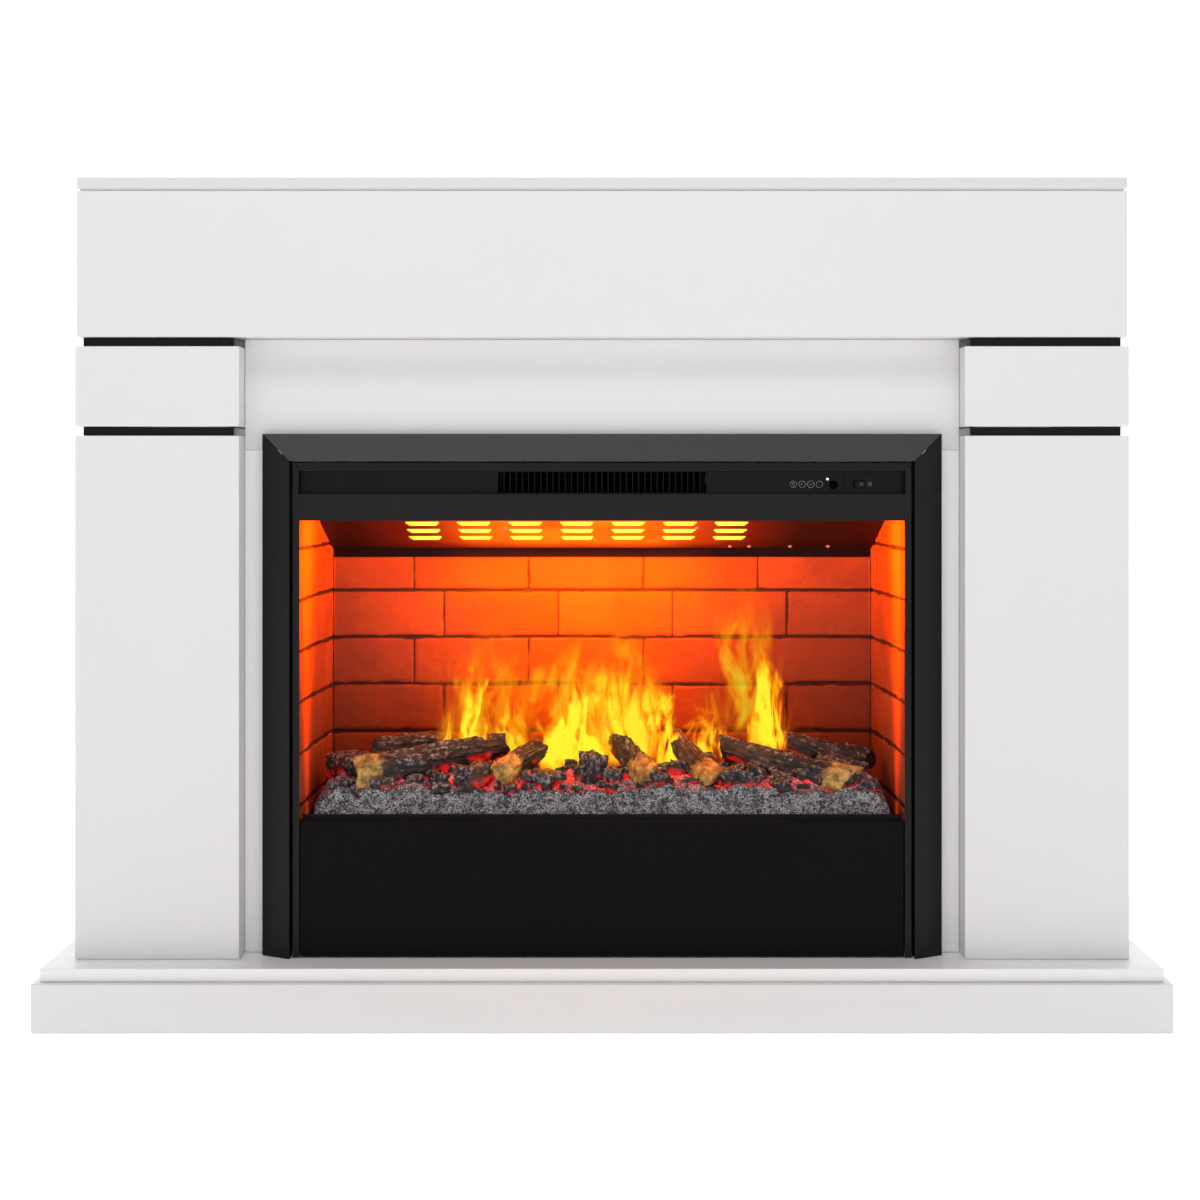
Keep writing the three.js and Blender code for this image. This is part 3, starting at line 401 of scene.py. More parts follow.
def bark(name="log_bark"):
    """Charred resin logs: black-brown bark, grey ash on ridges, honey-coloured sawn wood, and red light from
    below painted on as a glow.
    """
    look = Look(name)
    ridge = look.attribute("ridge")
    wood = look.attribute("wood")
    glow = look.attribute("glow")
    fine = look.noise(300, 5, 0.72)
    cloud = look.noise(45, 4, 0.6)
    dark = look.mix(look.range(cloud, 0.35, 0.68), (0.007, 0.006, 0.006), (0.040, 0.029, 0.028))
    ash = look.mix(look.range(fine, 0.35, 0.65), (0.08, 0.072, 0.07), (0.46, 0.43, 0.42))
    frost = look.range(look.noise(170, 4, 0.7), 0.46, 0.60)
    frost = look.math("MULTIPLY", look.range(ridge, 0.44, 0.80), frost)
    char = look.mix(frost, dark, ash)
    streak = look.noise(90, 4, 0.6)
    honey = look.mix(look.range(streak, 0.35, 0.7), (0.24, 0.12, 0.028), (0.72, 0.46, 0.12))
    split = look.range(look.noise(48, 4, 0.6, kind="RIDGED_MULTIFRACTAL"), 1.15, 1.45)
    honey = look.mix(split, honey, (0.035, 0.022, 0.010))
    pit_shade_and_sawn_end = look.range(look.math("ADD", wood, look.math("MULTIPLY", look.noise(70, 4, 0.6), 0.7)), 0.72, 0.86)
    colour = look.mix(pit_shade_and_sawn_end, char, honey)
    # Painted light: red glow from below, in patches, as emission.
    painted_red_glow = look.math("MULTIPLY", glow, look.range(look.noise(60, 4, 0.6), 0.48, 0.62))
    look.set(
        Base_Color=colour,
        Roughness=look.range(fine, 0.3, 0.7, 0.42, 0.75),
        Normal=look.bump(look.math("ADD", fine, look.math("MULTIPLY", cloud, 0.6)), 0.8, 0.002),
        Emission_Color=look.ramp(painted_red_glow, [(0, (0, 0, 0)), (0.4, (0.5, 0.001, 0.002)), (1, (1, 0.012, 0.01))]),
        Emission_Strength=1.3,
    )
    return look.material


def embers():
    """Ash bed: silver-grey crust on the crests, black coal, and red light painted into the hollows as
    emission.
    """
    look = Look("ember_crust")
    height = look.attribute("height")
    glow = look.attribute("glow")
    fine = look.noise(520, 5, 0.78)
    lumps = look.noise(130, 4, 0.6)
    coal = look.mix(look.range(lumps, 0.35, 0.65), (0.010, 0.009, 0.0095), (0.060, 0.054, 0.055))
    crust = look.mix(look.range(fine, 0.42, 0.58), (0.16, 0.15, 0.155), (0.80, 0.79, 0.82))
    crackle = look.math("ABSOLUTE", look.math("SUBTRACT", look.noise(70, 6, 0.7), 0.5))
    hair = look.math("ABSOLUTE", look.math("SUBTRACT", look.noise(190, 4, 0.65), 0.5))
    veins = look.range(hair, 0.048, 0.0, 0.0, 0.9)
    veins = look.math("ADD", look.range(crackle, 0.045, 0.0, 0.0, 1.0), veins)
    speckle = look.range(look.noise(420, 4, 0.7), 0.45, 0.62)
    frost = look.math("ADD", veins, look.math("MULTIPLY", speckle, 0.16))
    frost = look.math("MULTIPLY", frost, look.range(height, 0.2, 0.8, 0.35, 1.25))
    colour = look.mix(frost, coal, crust)
    painted_red_glow = look.math("MULTIPLY", glow, look.range(lumps, 0.34, 0.6))
    look.set(
        Base_Color=colour,
        Roughness=look.range(fine, 0.3, 0.7, 0.4, 0.8),
        Normal=look.bump(look.math("ADD", fine, lumps), 0.9, 0.0024),
        Emission_Color=look.ramp(painted_red_glow, [(0, (0, 0, 0)), (0.3, (0.45, 0.001, 0.002)), (1, (1, 0.02, 0.012))]),
        Emission_Strength=2.2,
    )
    return look.material


def heater_glow(name, dim, bright, strength):
    look = Look(name)
    ripple = look.noise(55, 3, 0.5, look.scaled((0.3, 1, 1)))
    look.set(
        Base_Color=(0.9, 0.6, 0.3),
        Roughness=0.3,
        Emission_Color=look.mix(look.range(ripple, 0.3, 0.7), dim, bright),
        Emission_Strength=strength,
    )
    return look.material


def flame(name, seed, lean, density, smoke):
    """One sheet of flame: u runs across it and v up it. It narrows, frays and reddens towards its tip."""
    look = Look(name)
    u = look.attribute("u")
    v = look.attribute("v")
    place = look.node("ShaderNodeCombineXYZ", {"X": u, "Y": v, "Z": float(seed)}).outputs[0]
    rising = look.node("ShaderNodeCombineXYZ", {"X": float(seed), "Y": v, "Z": 0.3}).outputs[0]
    sway = look.math("SUBTRACT", look.noise(1.4, 1, 0.5, rising), 0.5)
    push = look.math("MULTIPLY", sway, look.math("MULTIPLY", v, 2.4))
    across = look.math("ADD", look.math("ADD", u, push), look.math("MULTIPLY", v, float(lean)))
    curl = look.math("SUBTRACT", look.noise(1.7, 3, 0.55, place, 0.8), 0.5)
    across = look.math("ADD", across, look.math("MULTIPLY", curl, 1.6))
    width = look.math("SUBTRACT", 0.80, look.math("MULTIPLY", v, 0.62 - 0.4 * smoke))
    edge = look.math("DIVIDE", look.math("ABSOLUTE", across), width)
    body = look.range(edge, 1.0, 0.0)
    drift = look.node("ShaderNodeMapping", {"Vector": place, "Scale": (1.5, 1.5, 1.0)}).outputs[0]
    fold = look.noise(1.2, 3, 0.5, drift, 1.9)
    ridge = look.math("ABSOLUTE", look.math("SUBTRACT", fold, 0.5))
    ridge = look.range(ridge, 0.20, 0.0)
    veil = look.range(look.noise(2.2, 5, 0.6, drift, 1.2), 0.30, 0.72)
    licks = look.math("ADD", look.math("MULTIPLY", ridge, 0.5), look.math("MULTIPLY", veil, 0.6))
    sides = look.math("MULTIPLY", look.range(u, -1.0, -0.65), look.range(u, 1.0, 0.65))
    base = look.math("MULTIPLY", look.range(v, 0.0, 0.16), sides)
    tip = look.range(v, 1.0, 0.12)
    glow_amount = look.math("MULTIPLY", look.math("MULTIPLY", body, licks), look.math("MULTIPLY", base, tip))
    glow_amount = look.math("MULTIPLY", glow_amount, float(density))
    colour = look.ramp(
        glow_amount,
        [
            (0.0, (0.85, 0.07, 0.003)),
            (0.2, (1.0, 0.18, 0.005)),
            (0.5, (1.0, 0.37, 0.006)),
            (0.95, (1.0, 0.82, 0.03)),
        ],
    )
    glow = look.node("ShaderNodeEmission", {"Color": colour, "Strength": 1.15 - 0.15 * smoke})
    clear = look.node("ShaderNodeBsdfTransparent")
    mixed = look.node("ShaderNodeMixShader", {"Fac": look.range(glow_amount, 0.0, 0.6, 0.0, 0.95 - 0.4 * smoke)})
    look.tree.links.new(clear.outputs[0], mixed.inputs[1])
    look.tree.links.new(glow.outputs[0], mixed.inputs[2])
    look.tree.links.new(mixed.outputs[0], look.output.inputs["Surface"])
    look.tree.nodes.remove(look.shader)
    return look.material


def tank_plastic():
    look = Look("tank_plastic")
    cloud = look.noise(20, 3)
    look.set(
        Base_Color=look.mix(cloud, (0.42, 0.60, 0.70), (0.55, 0.72, 0.80)),
        Roughness=look.range(look.noise(500, 2), 0.3, 0.7, 0.16, 0.26),
        Coat_Weight=0.4,
        Normal=look.bump(cloud, 0.05, 0.001),
    )
    return look.material


def lit_lens():
    look = Look("lit_lens")
    grain = look.noise(900, 2)
    look.set(
        Base_Color=(0.8, 0.35, 0.33),
        Roughness=0.25,
        Emission_Color=look.mix(grain, (1.0, 0.45, 0.45), (1.0, 0.75, 0.74)),
        Emission_Strength=1.3,
    )
    return look.material


def circuit_board():
    look = Look("circuit_board")
    tracks = look.range(look.voronoi(260, look.scaled((1, 0.02, 3)), "DISTANCE_TO_EDGE"), 0.02, 0.08)
    look.set(
        Base_Color=look.mix(tracks, (0.10, 0.34, 0.18), (0.02, 0.13, 0.06)),
        Roughness=0.4,
        Normal=look.bump(tracks, 0.2, 0.0002),
    )
    return look.material


def printed_mark():
    look = Look("printed_mark")
    grain = look.noise(1200, 2)
    look.set(Base_Color=look.mix(grain, (0.52, 0.48, 0.46), (0.64, 0.59, 0.57)), Roughness=0.6)
    return look.material


def bright_screw():
    dark, light = (0.55, 0.53, 0.5), (0.75, 0.73, 0.7)
    return mottled("bright_screw", 600, 3, dark, light, (0.22, 0.4), Metallic=1.0)


def louvre_lit_screw():
    """The ceiling's fixings, bright steel, with the heater's orange light painted into their colour and
    painted on as a glow.
    """
    look = Look("louvre_lit_screw")
    painted_light_mottle = look.noise(800, 3)
    look.set(
        Base_Color=look.mix(look.range(painted_light_mottle, 0.35, 0.65), (0.50, 0.30, 0.22), (0.75, 0.50, 0.38)),
        Metallic=0.6,
        Roughness=look.range(painted_light_mottle, 0.3, 0.7, 0.3, 0.5),
        Emission_Color=look.mix(painted_light_mottle, (0.65, 0.12, 0.05), (0.9, 0.25, 0.12)),
        Emission_Strength=0.55,
    )
    return look.material


# ---- Mesh helpers ----
def new_object(name, mesh, material, body=ROOT, smooth=True):
    made = bpy.data.objects.new(name, mesh)
    bpy.context.collection.objects.link(made)
    if material is not None:
        mesh.materials.append(material)
    if smooth:
        mesh.polygons.foreach_set("use_smooth", [True] * len(mesh.polygons))
    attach(made, body)
    return made


def finished_mesh(name, bm, material, body=ROOT, smooth=False):
    mesh = bpy.data.meshes.new(name)
    bm.to_mesh(mesh)
    bm.free()
    return new_object(name, mesh, material, body, smooth)


def skin(bm, rings, inside_out=False):
    """Faces between each ring of vertices and the next."""
    for a, b in zip(rings, rings[1:]):
        for k in range(len(a)):
            m = (k + 1) % len(a)
            corners = (a[k], a[m], b[m], b[k])
            bm.faces.new(corners[::-1] if inside_out else corners)


def refine(node, material, width=0.0008, segments=2, body=ROOT, slot=None, second=None, is_second=None):
    """A copy of a CAD node with flat faces joined and its edges softly rounded, like a sanded part's."""
    mesh = NODES[node].data.copy()
    mesh.materials.clear()
    bm = bmesh.new()
    bm.from_mesh(mesh)
    bmesh.ops.remove_doubles(bm, verts=bm.verts, dist=1e-6)
    bmesh.ops.dissolve_limit(bm, angle_limit=0.002, verts=bm.verts, edges=bm.edges)
    sharp = [e for e in bm.edges if len(e.link_faces) == 2 and e.calc_face_angle(0) > 0.5]
    shape = {"offset": width, "segments": segments, "profile": 0.5, "clamp_overlap": True}
    bmesh.ops.bevel(bm, geom=sharp, affect="EDGES", **shape)
    bm.normal_update()
    for face in bm.faces:
        face.material_index = 1 if is_second and is_second(face) else 0
    bm.to_mesh(mesh)
    bm.free()
    made = bpy.data.objects.new(node + "_finish", mesh)
    bpy.context.collection.objects.link(made)
    mesh.materials.append(material)
    if second is not None:
        mesh.materials.append(second)
    mesh.polygons.foreach_set("use_smooth", [True] * len(mesh.polygons))
    modifier = made.modifiers.new("normals", "WEIGHTED_NORMAL")
    modifier.keep_sharp = False
    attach(made, body)
    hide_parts(node)
    return made


def add_numbers(mesh, numbers):
    """One number for each point of a mesh, under each attribute name."""
    for key, values in numbers.items():
        attribute = mesh.attributes.new(key, "FLOAT", "POINT")
        attribute.data.foreach_set("value", np.asarray(values, np.float32).ravel())


def grid_mesh(name, points, extra=None):
    """A mesh from rows of points. extra holds one number per point for each attribute name."""
    rows, columns = points.shape[:2]
    index = np.arange(rows * columns).reshape(rows, columns)
    quads = np.stack([index[:-1, :-1], index[:-1, 1:], index[1:, 1:], index[1:, :-1]], axis=-1).reshape(-1, 4)
    mesh = bpy.data.meshes.new(name)
    mesh.from_pydata(points.reshape(-1, 3).tolist(), [], quads.tolist())
    add_numbers(mesh, extra or {})
    return mesh


def fbm(x, y, z, octaves=4):
    return noise.fractal(Vector((x, y, z)), 1.0, 2.1, octaves)


# ---- Brick walls ----
def brick_relief(along, up, seed):
    """Mortar and tone at a place on a wall: along is metres from the rear wall's middle, up is a height."""
    wobble = 0.0008 * noise.noise(Vector((along * 60, up * 60, seed)))
    wave = 0.0016 * noise.noise(Vector((along * 9, up * 9, seed + 5)))
    course = (up + wobble + wave - COURSE_TOP) / BRICK_PITCH[1]
    row = math.floor(course)
    shift = 0.0 if row % 2 == 0 else BRICK_OFFSET
    place = (along + wobble - shift - BRICK_START) / BRICK_PITCH[0]
    column = math.floor(place)
    edge_up = min(course - row, row + 1 - course) * BRICK_PITCH[1]
    edge_along = min(place - column, column + 1 - place) * BRICK_PITCH[0]
    half = MORTAR / 2 * (0.6 + 0.6 * noise.noise(Vector((along * 35, up * 35, seed + 9))))
    level = 1 - min(max((edge_up - half) / 0.0022, 0), 1)
    upright = 0.8 * (1 - min(max((edge_along - half * 0.5) / 0.0020, 0), 1))
    mortar = max(level, upright)
    random.seed(row * 131 + column * 17 + int(seed))
    return mortar * mortar * (3 - 2 * mortar), random.random()


def louvre_light_share(x, y, z):
    """How strongly the louvres light a place on the lining, from 0 to 1; the walls paint this light into
    their colour, with a painted highlight streak down the front of each side wall.
    """
    rise = min(1, max(0, (z - SHELF_Z - 0.17) / (BACK_WALL[1].z - SHELF_Z - 0.17)))
    middle = math.exp(-(((x + 0.02) / (0.11 + 0.09 * rise)) ** 2))
    lining = rise ** 1.6 * (0.10 + 0.90 * middle)
    streak = math.exp(-(((y - RECESS_Y - 0.036) / (0.013 + 0.042 * rise)) ** 2)) * (0.10 + 0.90 * rise ** 1.6)
    return lining if abs(x) < 0.36 else 0.40 * rise ** 2 + 1.2 * streak


def wall_sheet(name, materials, node, path, z_low, z_top, step, seed, start):
    """A brick wall over a plan path, from z_low up to z_top(y), with the mortar sunk into its face."""
    lengths = [0.0]
    for a, b in zip(path, path[1:]):
        lengths.append(lengths[-1] + (b - a).length)
    columns = int(lengths[-1] / step) + 1
    rows = int((z_top(path[0].y) - z_low) / step) + 1
    points = np.zeros((rows, columns, 3))
    mortar = np.zeros((rows, columns))
    tone = np.zeros((rows, columns))
    painted_lining_light = np.zeros((rows, columns))
    for j in range(columns):
        run = lengths[-1] * j / (columns - 1)
        leg = max(k for k in range(len(path) - 1) if lengths[k] <= run + 1e-9)
        tangent = (path[leg + 1] - path[leg]).normalized()
        at = path[leg] + tangent * (run - lengths[leg])
        inward = Vector((tangent.y, -tangent.x))
        for i in range(rows):
            z = z_low + (z_top(at.y) - z_low) * i / (rows - 1)
            mortar[i, j], tone[i, j] = brick_relief(start + run, z, seed)
            rough = 0.0005 * fbm(run * 80, z * 80, seed)
            rough += 0.0006 * noise.noise(Vector((run * 14, z * 14, seed)))
            depth = 0.0006 + 0.0026 * mortar[i, j] + rough
            spot = at - inward * depth
            points[i, j] = (spot.x, spot.y, z)
            # Painted light from the heater, kept on each point for the brick material.
            painted_lining_light[i, j] = louvre_light_share(spot.x, spot.y, z)
    mesh = grid_mesh(name, points, {"mortar": mortar, "tone": tone, "painted_lining_light": painted_lining_light})
    wall = new_object(name, mesh, materials[0])
    backing(wall, 0.0045, materials[1])
    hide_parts(node)
    return wall


def backing(wall, thickness, material):
    wall.data.materials.append(material)
    modifier = wall.modifiers.new("backing", "SOLIDIFY")
    modifier.thickness = thickness
    modifier.offset = -1
    modifier.material_offset = 1
    modifier.material_offset_rim = 1


def brick_walls():
    low, high = BACK_WALL
    rear_coat = powder_coat("panel_back", (0.05, 0.045, 0.042), (0.08, 0.072, 0.068), 0.2, 0.8)
    materials = (brick("brick"), rear_coat)
    path = [Vector((low.x, low.y)), Vector((high.x, low.y))]
    wall_sheet("rear_bricks", materials, "brick_back", path, low.z, lambda y: high.z, 0.0024, 3, low.x)
    bend_y = RECESS_Y + 0.090
    rear_y = RECESS_Y + 0.2117
    top = SIDE_WALL[1].z

    def roof(y):
        over = max(0.0, y - bend_y + 0.001)
        return top - over * math.tan(SLOPE)

    corners = [(0.3705, RECESS_Y - 0.019), (0.3695, bend_y), (0.3625, rear_y)]
    right = [Vector(c) for c in reversed(corners)]
    wall_sheet("right_bricks", materials, "brick_right", right, low.z, roof, 0.0026, 7, 0.362)
    left = [Vector((-x, y)) for x, y in corners]
    length = sum((b - a).length for a, b in zip(left, left[1:]))
    wall_sheet("left_bricks", materials, "brick_left", left, low.z, roof, 0.0026, 11, -0.362 - length)


# ---- Logs ----
LOGS = [
    # node, start, end, radii, flattening, twist, seed, sawn end
    ("log_front_left", (-306, 34, 216), (-130, 100, 238), (25, 18), 0.80, 0.5, 11, True),
    ("log_back_left", (-300, 125, 232), (-190, 132, 238), (17, 14), 0.85, 1.2, 12, False),
    ("log_centre_left", (-130, 30, 206), (-76, 92, 243), (19, 13), 0.85, 0.3, 13, True),
    ("log_centre_right", (58, 30, 204), (20, 96, 252), (22, 15), 0.85, 2.2, 14, True),
    ("log_right_leaning", (140, 30, 203), (90, 100, 260), (19, 12), 0.80, 0.9, 15, True),
    ("log_front_right", (312, 32, 207), (156, 100, 238), (23, 18), 0.75, 0.4, 16, True),
    ("log_back_right", (346, 118, 216), (222, 133, 238), (22, 16), 0.85, 1.7, 17, False),
]


def design_point(x, y, z):
    """A point given in millimetres from the recessed panel and the plinth's top."""
    return Vector((x / 1000, RECESS_Y + y / 1000, SHELF_Z + z / 1000))


def split_face(angle, seed):
    """Radius share of a split log: four to six flat faces with worn corners."""
    random.seed(seed)
    sides = random.choice((4, 5, 5, 6))
    turn = (angle + random.uniform(0, 3)) % (2 * math.pi / sides) - math.pi / sides
    flat_face = math.cos(math.pi / sides) / math.cos(turn)
    return 0.30 + 0.72 * flat_face


def log_mesh(name, start, end, radii, flat, twist, seed, sawn):
    a, b = design_point(*start), design_point(*end)
    direction = (b - a).normalized()
    side = direction.cross(Vector((0, 0, 1))).normalized()
    up = side.cross(direction).normalized()
    length = (b - a).length
    around, along = 72, max(40, int(length / 0.002))
    points = np.zeros((along + 1, around, 3))
    ridge = np.zeros((along + 1, around))
    wood = np.zeros((along + 1, around))
    glow = np.zeros((along + 1, around))
    for i in range(along + 1):
        t = i / along
        bend = 0.004 * math.sin(t * 3 + seed)
        radius = (radii[0] + (radii[1] - radii[0]) * t) / 1000
        for j in range(around):
            angle = 2 * math.pi * j / around
            ragged = 0.006 * noise.noise(Vector((math.cos(angle) * 1.5, math.sin(angle) * 1.5, seed)))
            slant = 0.35 * radius * math.sin(angle + seed)
            run = t * length + (ragged + slant) * (1 - 2 * t)
            cx, cy = math.cos(angle + twist * t), math.sin(angle + twist * t)
            facet = split_face(angle + twist * t, seed)
            cells = noise.voronoi(Vector((cx * 2.4, cy * 2.4, run * 26 + seed)))[0]
            crack = 1 - min(1, (cells[1] - cells[0]) * 3.6)
            furrow = 1 - 2 * abs(noise.noise(Vector((cx * 5.2, cy * 5.2, run * 11 + seed))))
            plate = noise.noise(Vector((cx * 9, cy * 9, run * 70 + seed)))
            fine = noise.noise(Vector((cx * 18, cy * 18, run * 210 + seed)))
            bark_height = 0.10 * furrow - 0.12 * crack + 0.06 * plate + 0.04 * fine
            r = radius * (facet + bark_height)
            r *= 0.93 + 0.07 * min(1, min(t, 1 - t) * 14)
            across, rise = math.cos(angle) * r, math.sin(angle) * r
            rise *= 1 if math.sin(angle) < 0 else flat + 0.22
            points[i, j] = a + direction * run + side * across + up * (rise + bend)
            ridge[i, j] = 0.42 + 2.4 * bark_height + 0.15 * math.sin(angle)
            wood[i, j] = 1.05 * max(0, 1 - t * length / 0.055) if sawn else 0.0
            # Painted light: red glow on the underside, growing along the log.
            glow[i, j] = max(0, -math.sin(angle)) * (0.35 + 0.65 * t)
    index = np.arange((along + 1) * around).reshape(along + 1, around)
    nxt = np.roll(index, -1, axis=1)
    quads = np.stack([index[:-1], nxt[:-1], nxt[1:], index[1:]], axis=-1).reshape(-1, 4).tolist()
    vertices = points.reshape(-1, 3).tolist()
    values = {"ridge": ridge.ravel().tolist(), "wood": wood.ravel().tolist(), "glow": glow.ravel().tolist()}
    for end_index, end_wood in ((0, 1.0 if sawn else 0.12), (along, 0.12)):
        ring = points[end_index]
        centre = ring.mean(axis=0)
        last = index[end_index].tolist()
        outward = -direction if end_index == 0 else direction
        for step in range(1, 7):
            share = 1 - step / 7
            this = []
            for j in range(around):
                spot = Vector(centre + (ring[j] - centre) * share)
                spot += outward * (0.0022 * noise.noise(spot * 130) + 0.0012 * (1 - share))
                this.append(len(vertices))
                vertices.append(tuple(spot))
                values["ridge"].append(0.5 + 0.4 * noise.noise(spot * 200))
                values["wood"].append(end_wood)
                values["glow"].append(0.0)
            for j in range(around):
                k = (j + 1) % around
                quad = [last[j], this[j], this[k], last[k]]
                quads.append(quad if end_index == 0 else quad[::-1])
            last = this
        quads.append(last if end_index else last[::-1])
    mesh = bpy.data.meshes.new(name)
    mesh.from_pydata(vertices, [], quads)
    add_numbers(mesh, values)
    return mesh


def logs():
    material = bark()
    for name, start, end, radii, flat, twist, seed, sawn in LOGS:
        mesh = log_mesh(name + "_bark", start, end, radii, flat, twist, seed, sawn)
        made = new_object(name + "_bark", mesh, material)
        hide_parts(name)


# ---- Ember bed ----
def bed_height(x, y):
    """Height of the crust above the tray in metres, x and y in metres from the middle and the bed's front."""
    depth = BED[1].y - BED[0].y
    t = y / depth
    end = min(1.0, (BED[1].x - abs(x)) / 0.03)
    profile = 0.028 + 0.020 * min(1, t / 0.3) - 0.012 * max(0, (t - 0.75) / 0.25)
    profile *= 0.35 + 0.65 * max(0, end) ** 0.6
    ridges = noise.ridged_multi_fractal(Vector((x * 30, y * 42, 1.7)), 0.95, 2.1, 5, 1.0, 2.0)
    crest = min(1.0, max(0.0, (ridges - 0.5) / 1.9))
    lumps = 0.0065 * fbm(x * 26, y * 26, 2.0, 4)
    fine = 0.0013 * noise.noise(Vector((x * 300, y * 300, 4)))
    fine += 0.0014 * noise.noise(Vector((x * 130, y * 130, 6)))
    return profile + lumps + 0.008 * crest + fine, crest, lumps / 0.0065


def ember_bed():
    low, high = BED
    step = 0.0019
    columns = int((high.x - low.x) / step) + 1
    rows = int((high.y - low.y) / step) + 1
    skirt = 16
    points = np.zeros((rows + skirt, columns, 3))
    height = np.zeros((rows + skirt, columns))
    glow = np.zeros((rows + skirt, columns))
    for j in range(columns):
        x = low.x + (high.x - low.x) * j / (columns - 1)
        for i in range(rows + skirt):
            down = max(0, skirt - i) / skirt
            y = max(0, i - skirt) / (rows - 1) * (high.y - low.y)
            lift, stone, lump = bed_height(x, y)
            z = low.z + lift * (1 - down)
            edge = 1 - min(1, y / 0.012)
            rugged = noise.ridged_multi_fractal(Vector((x * 34, z * 60, 5)), 0.95, 2.1, 5, 1.0, 2.0)
            face = 0.012 * (1 - down) + 0.002 - 0.0022 * rugged
            face += 0.0012 * noise.noise(Vector((x * 260, z * 260, 3)))
            front = low.y + y + edge * max(0.0, face)
            points[i, j] = (x, max(front, low.y), z)
            crag = noise.noise(Vector((x * 60, z * 60 + y * 40, 12)))
            rough = stone if edge < 0.5 else min(1, rugged / 2.2)
            height[i, j] = 0.22 + 0.45 * rough + 0.2 * lump + 0.12 * edge + 0.3 * crag
            # Painted light: red glow behind the front edge and away from the crests, in patches.
            band = min(1, max(0, (y - 0.012) / 0.02)) * min(1, max(0, (0.325 - abs(x)) / 0.05))
            patch = 0.45 + 1.1 * noise.noise(Vector((x * 16, y * 22, 8)))
            glow[i, j] = band * max(0, 1 - stone * 1.5) * max(0, min(1, patch + 0.3))
    mesh = grid_mesh("ember_crust", points, {"height": height, "glow": glow})
    crust = new_object("ember_crust", mesh, embers())
    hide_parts("ember_bed")


def add_lump(bm, layers, centre, size, stretch, turn, seed, glow, corners=0.7):
    """One piece of charcoal: a noisy block with softened corners."""
    made = bmesh.ops.create_icosphere(bm, subdivisions=4, radius=1.0)
    for vertex in made["verts"]:
        p = vertex.co.copy()
        blocky = 1 / max(abs(p.x), abs(p.y), abs(p.z)) ** corners
        ordered = sorted((abs(p.x), abs(p.y), abs(p.z)))
        edge = (ordered[1] / ordered[2]) ** 8 if corners > 0.8 else 0.0
        bump = 0.18 * fbm(p.x * 1.8 + seed, p.y * 1.8, p.z * 1.8)
        bump += 0.09 * noise.noise(p * 5 + Vector((seed, 0, 0)))
        crack = max(0, 0.12 - abs(noise.noise(p * 2.4 + Vector((0, seed, 0))))) / 0.12
        bump -= 0.10 * crack
        q = p * (0.74 * blocky + bump)
        vertex.co = centre + turn @ Vector((q.x * stretch.x, q.y * stretch.y, q.z * stretch.z)) * size
        vertex[layers[0]] = 0.58 + 1.5 * bump + 0.25 * p.z + 0.35 * edge
        # Painted light: red glow painted on the underside of each lump.
        vertex[layers[2]] = max(0, -p.z - 0.1) * glow


CHARRED_BLOCKS = [
    # x, y, size, upright stretch, turn in degrees
    (-204, 30, 15, 0.8, 20),
    (-169, 20, 16, 0.9, 8),
    (-72, 22, 16, 0.8, -25),
    (-12, 42, 21, 1.35, 35),
    (14, 34, 14, 0.9, -20),
    (72, 24, 15, 0.7, 50),
    (178, 30, 14, 0.8, 12),
    (226, 34, 17, 0.6, -15),
]


def coals():
    """Loose charcoal lumps and short charred pieces lying in the bed between the logs."""
    random.seed(5)
    bm = bmesh.new()
    layers = [bm.verts.layers.float.new(key) for key in ("ridge", "wood", "glow")]
    spots = []
    tries = 0
    while len(spots) < 95 and tries < 6000:
        tries += 1
        x = random.uniform(BED[0].x + 0.02, BED[1].x - 0.02)
        y = random.uniform(0.014, 0.118)
        size = random.uniform(0.008, 0.024) * (1.0 if y > 0.028 else 0.65)
        if all((x - a) ** 2 + (y - b) ** 2 > (0.8 * (size + c)) ** 2 for a, b, c in spots):
            spots.append((x, y, size))
    for x, y, size in spots:
        lift = bed_height(x, y)[0]
        centre = Vector((x, BED[0].y + y, BED[0].z + lift + size * 0.15))
        stretch = Vector((random.uniform(0.9, 1.8), random.uniform(0.8, 1.2), random.uniform(0.6, 0.95)))
        turn = Matrix.Rotation(random.uniform(0, math.pi), 3, "Z")
        turn = turn @ Matrix.Rotation(random.uniform(-0.5, 0.5), 3, "X")
        add_lump(bm, layers, centre, size, stretch, turn, random.uniform(0, 90), 0.9)
    for x, y, size, upright, degrees in CHARRED_BLOCKS:
        lift = bed_height(x / 1000, y / 1000)[0]
        centre = Vector((x / 1000, BED[0].y + y / 1000, BED[0].z + lift + size / 1000 * 0.35))
        turn = Matrix.Rotation(math.radians(degrees), 3, "Z") @ Matrix.Rotation(0.15, 3, "Y")
        add_lump(bm, layers, centre, size / 1000, Vector((1.0, 0.9, upright)), turn, x * 0.37, 0.9, 0.95)
    finished_mesh("coals", bm, bark("coal"), smooth=True)


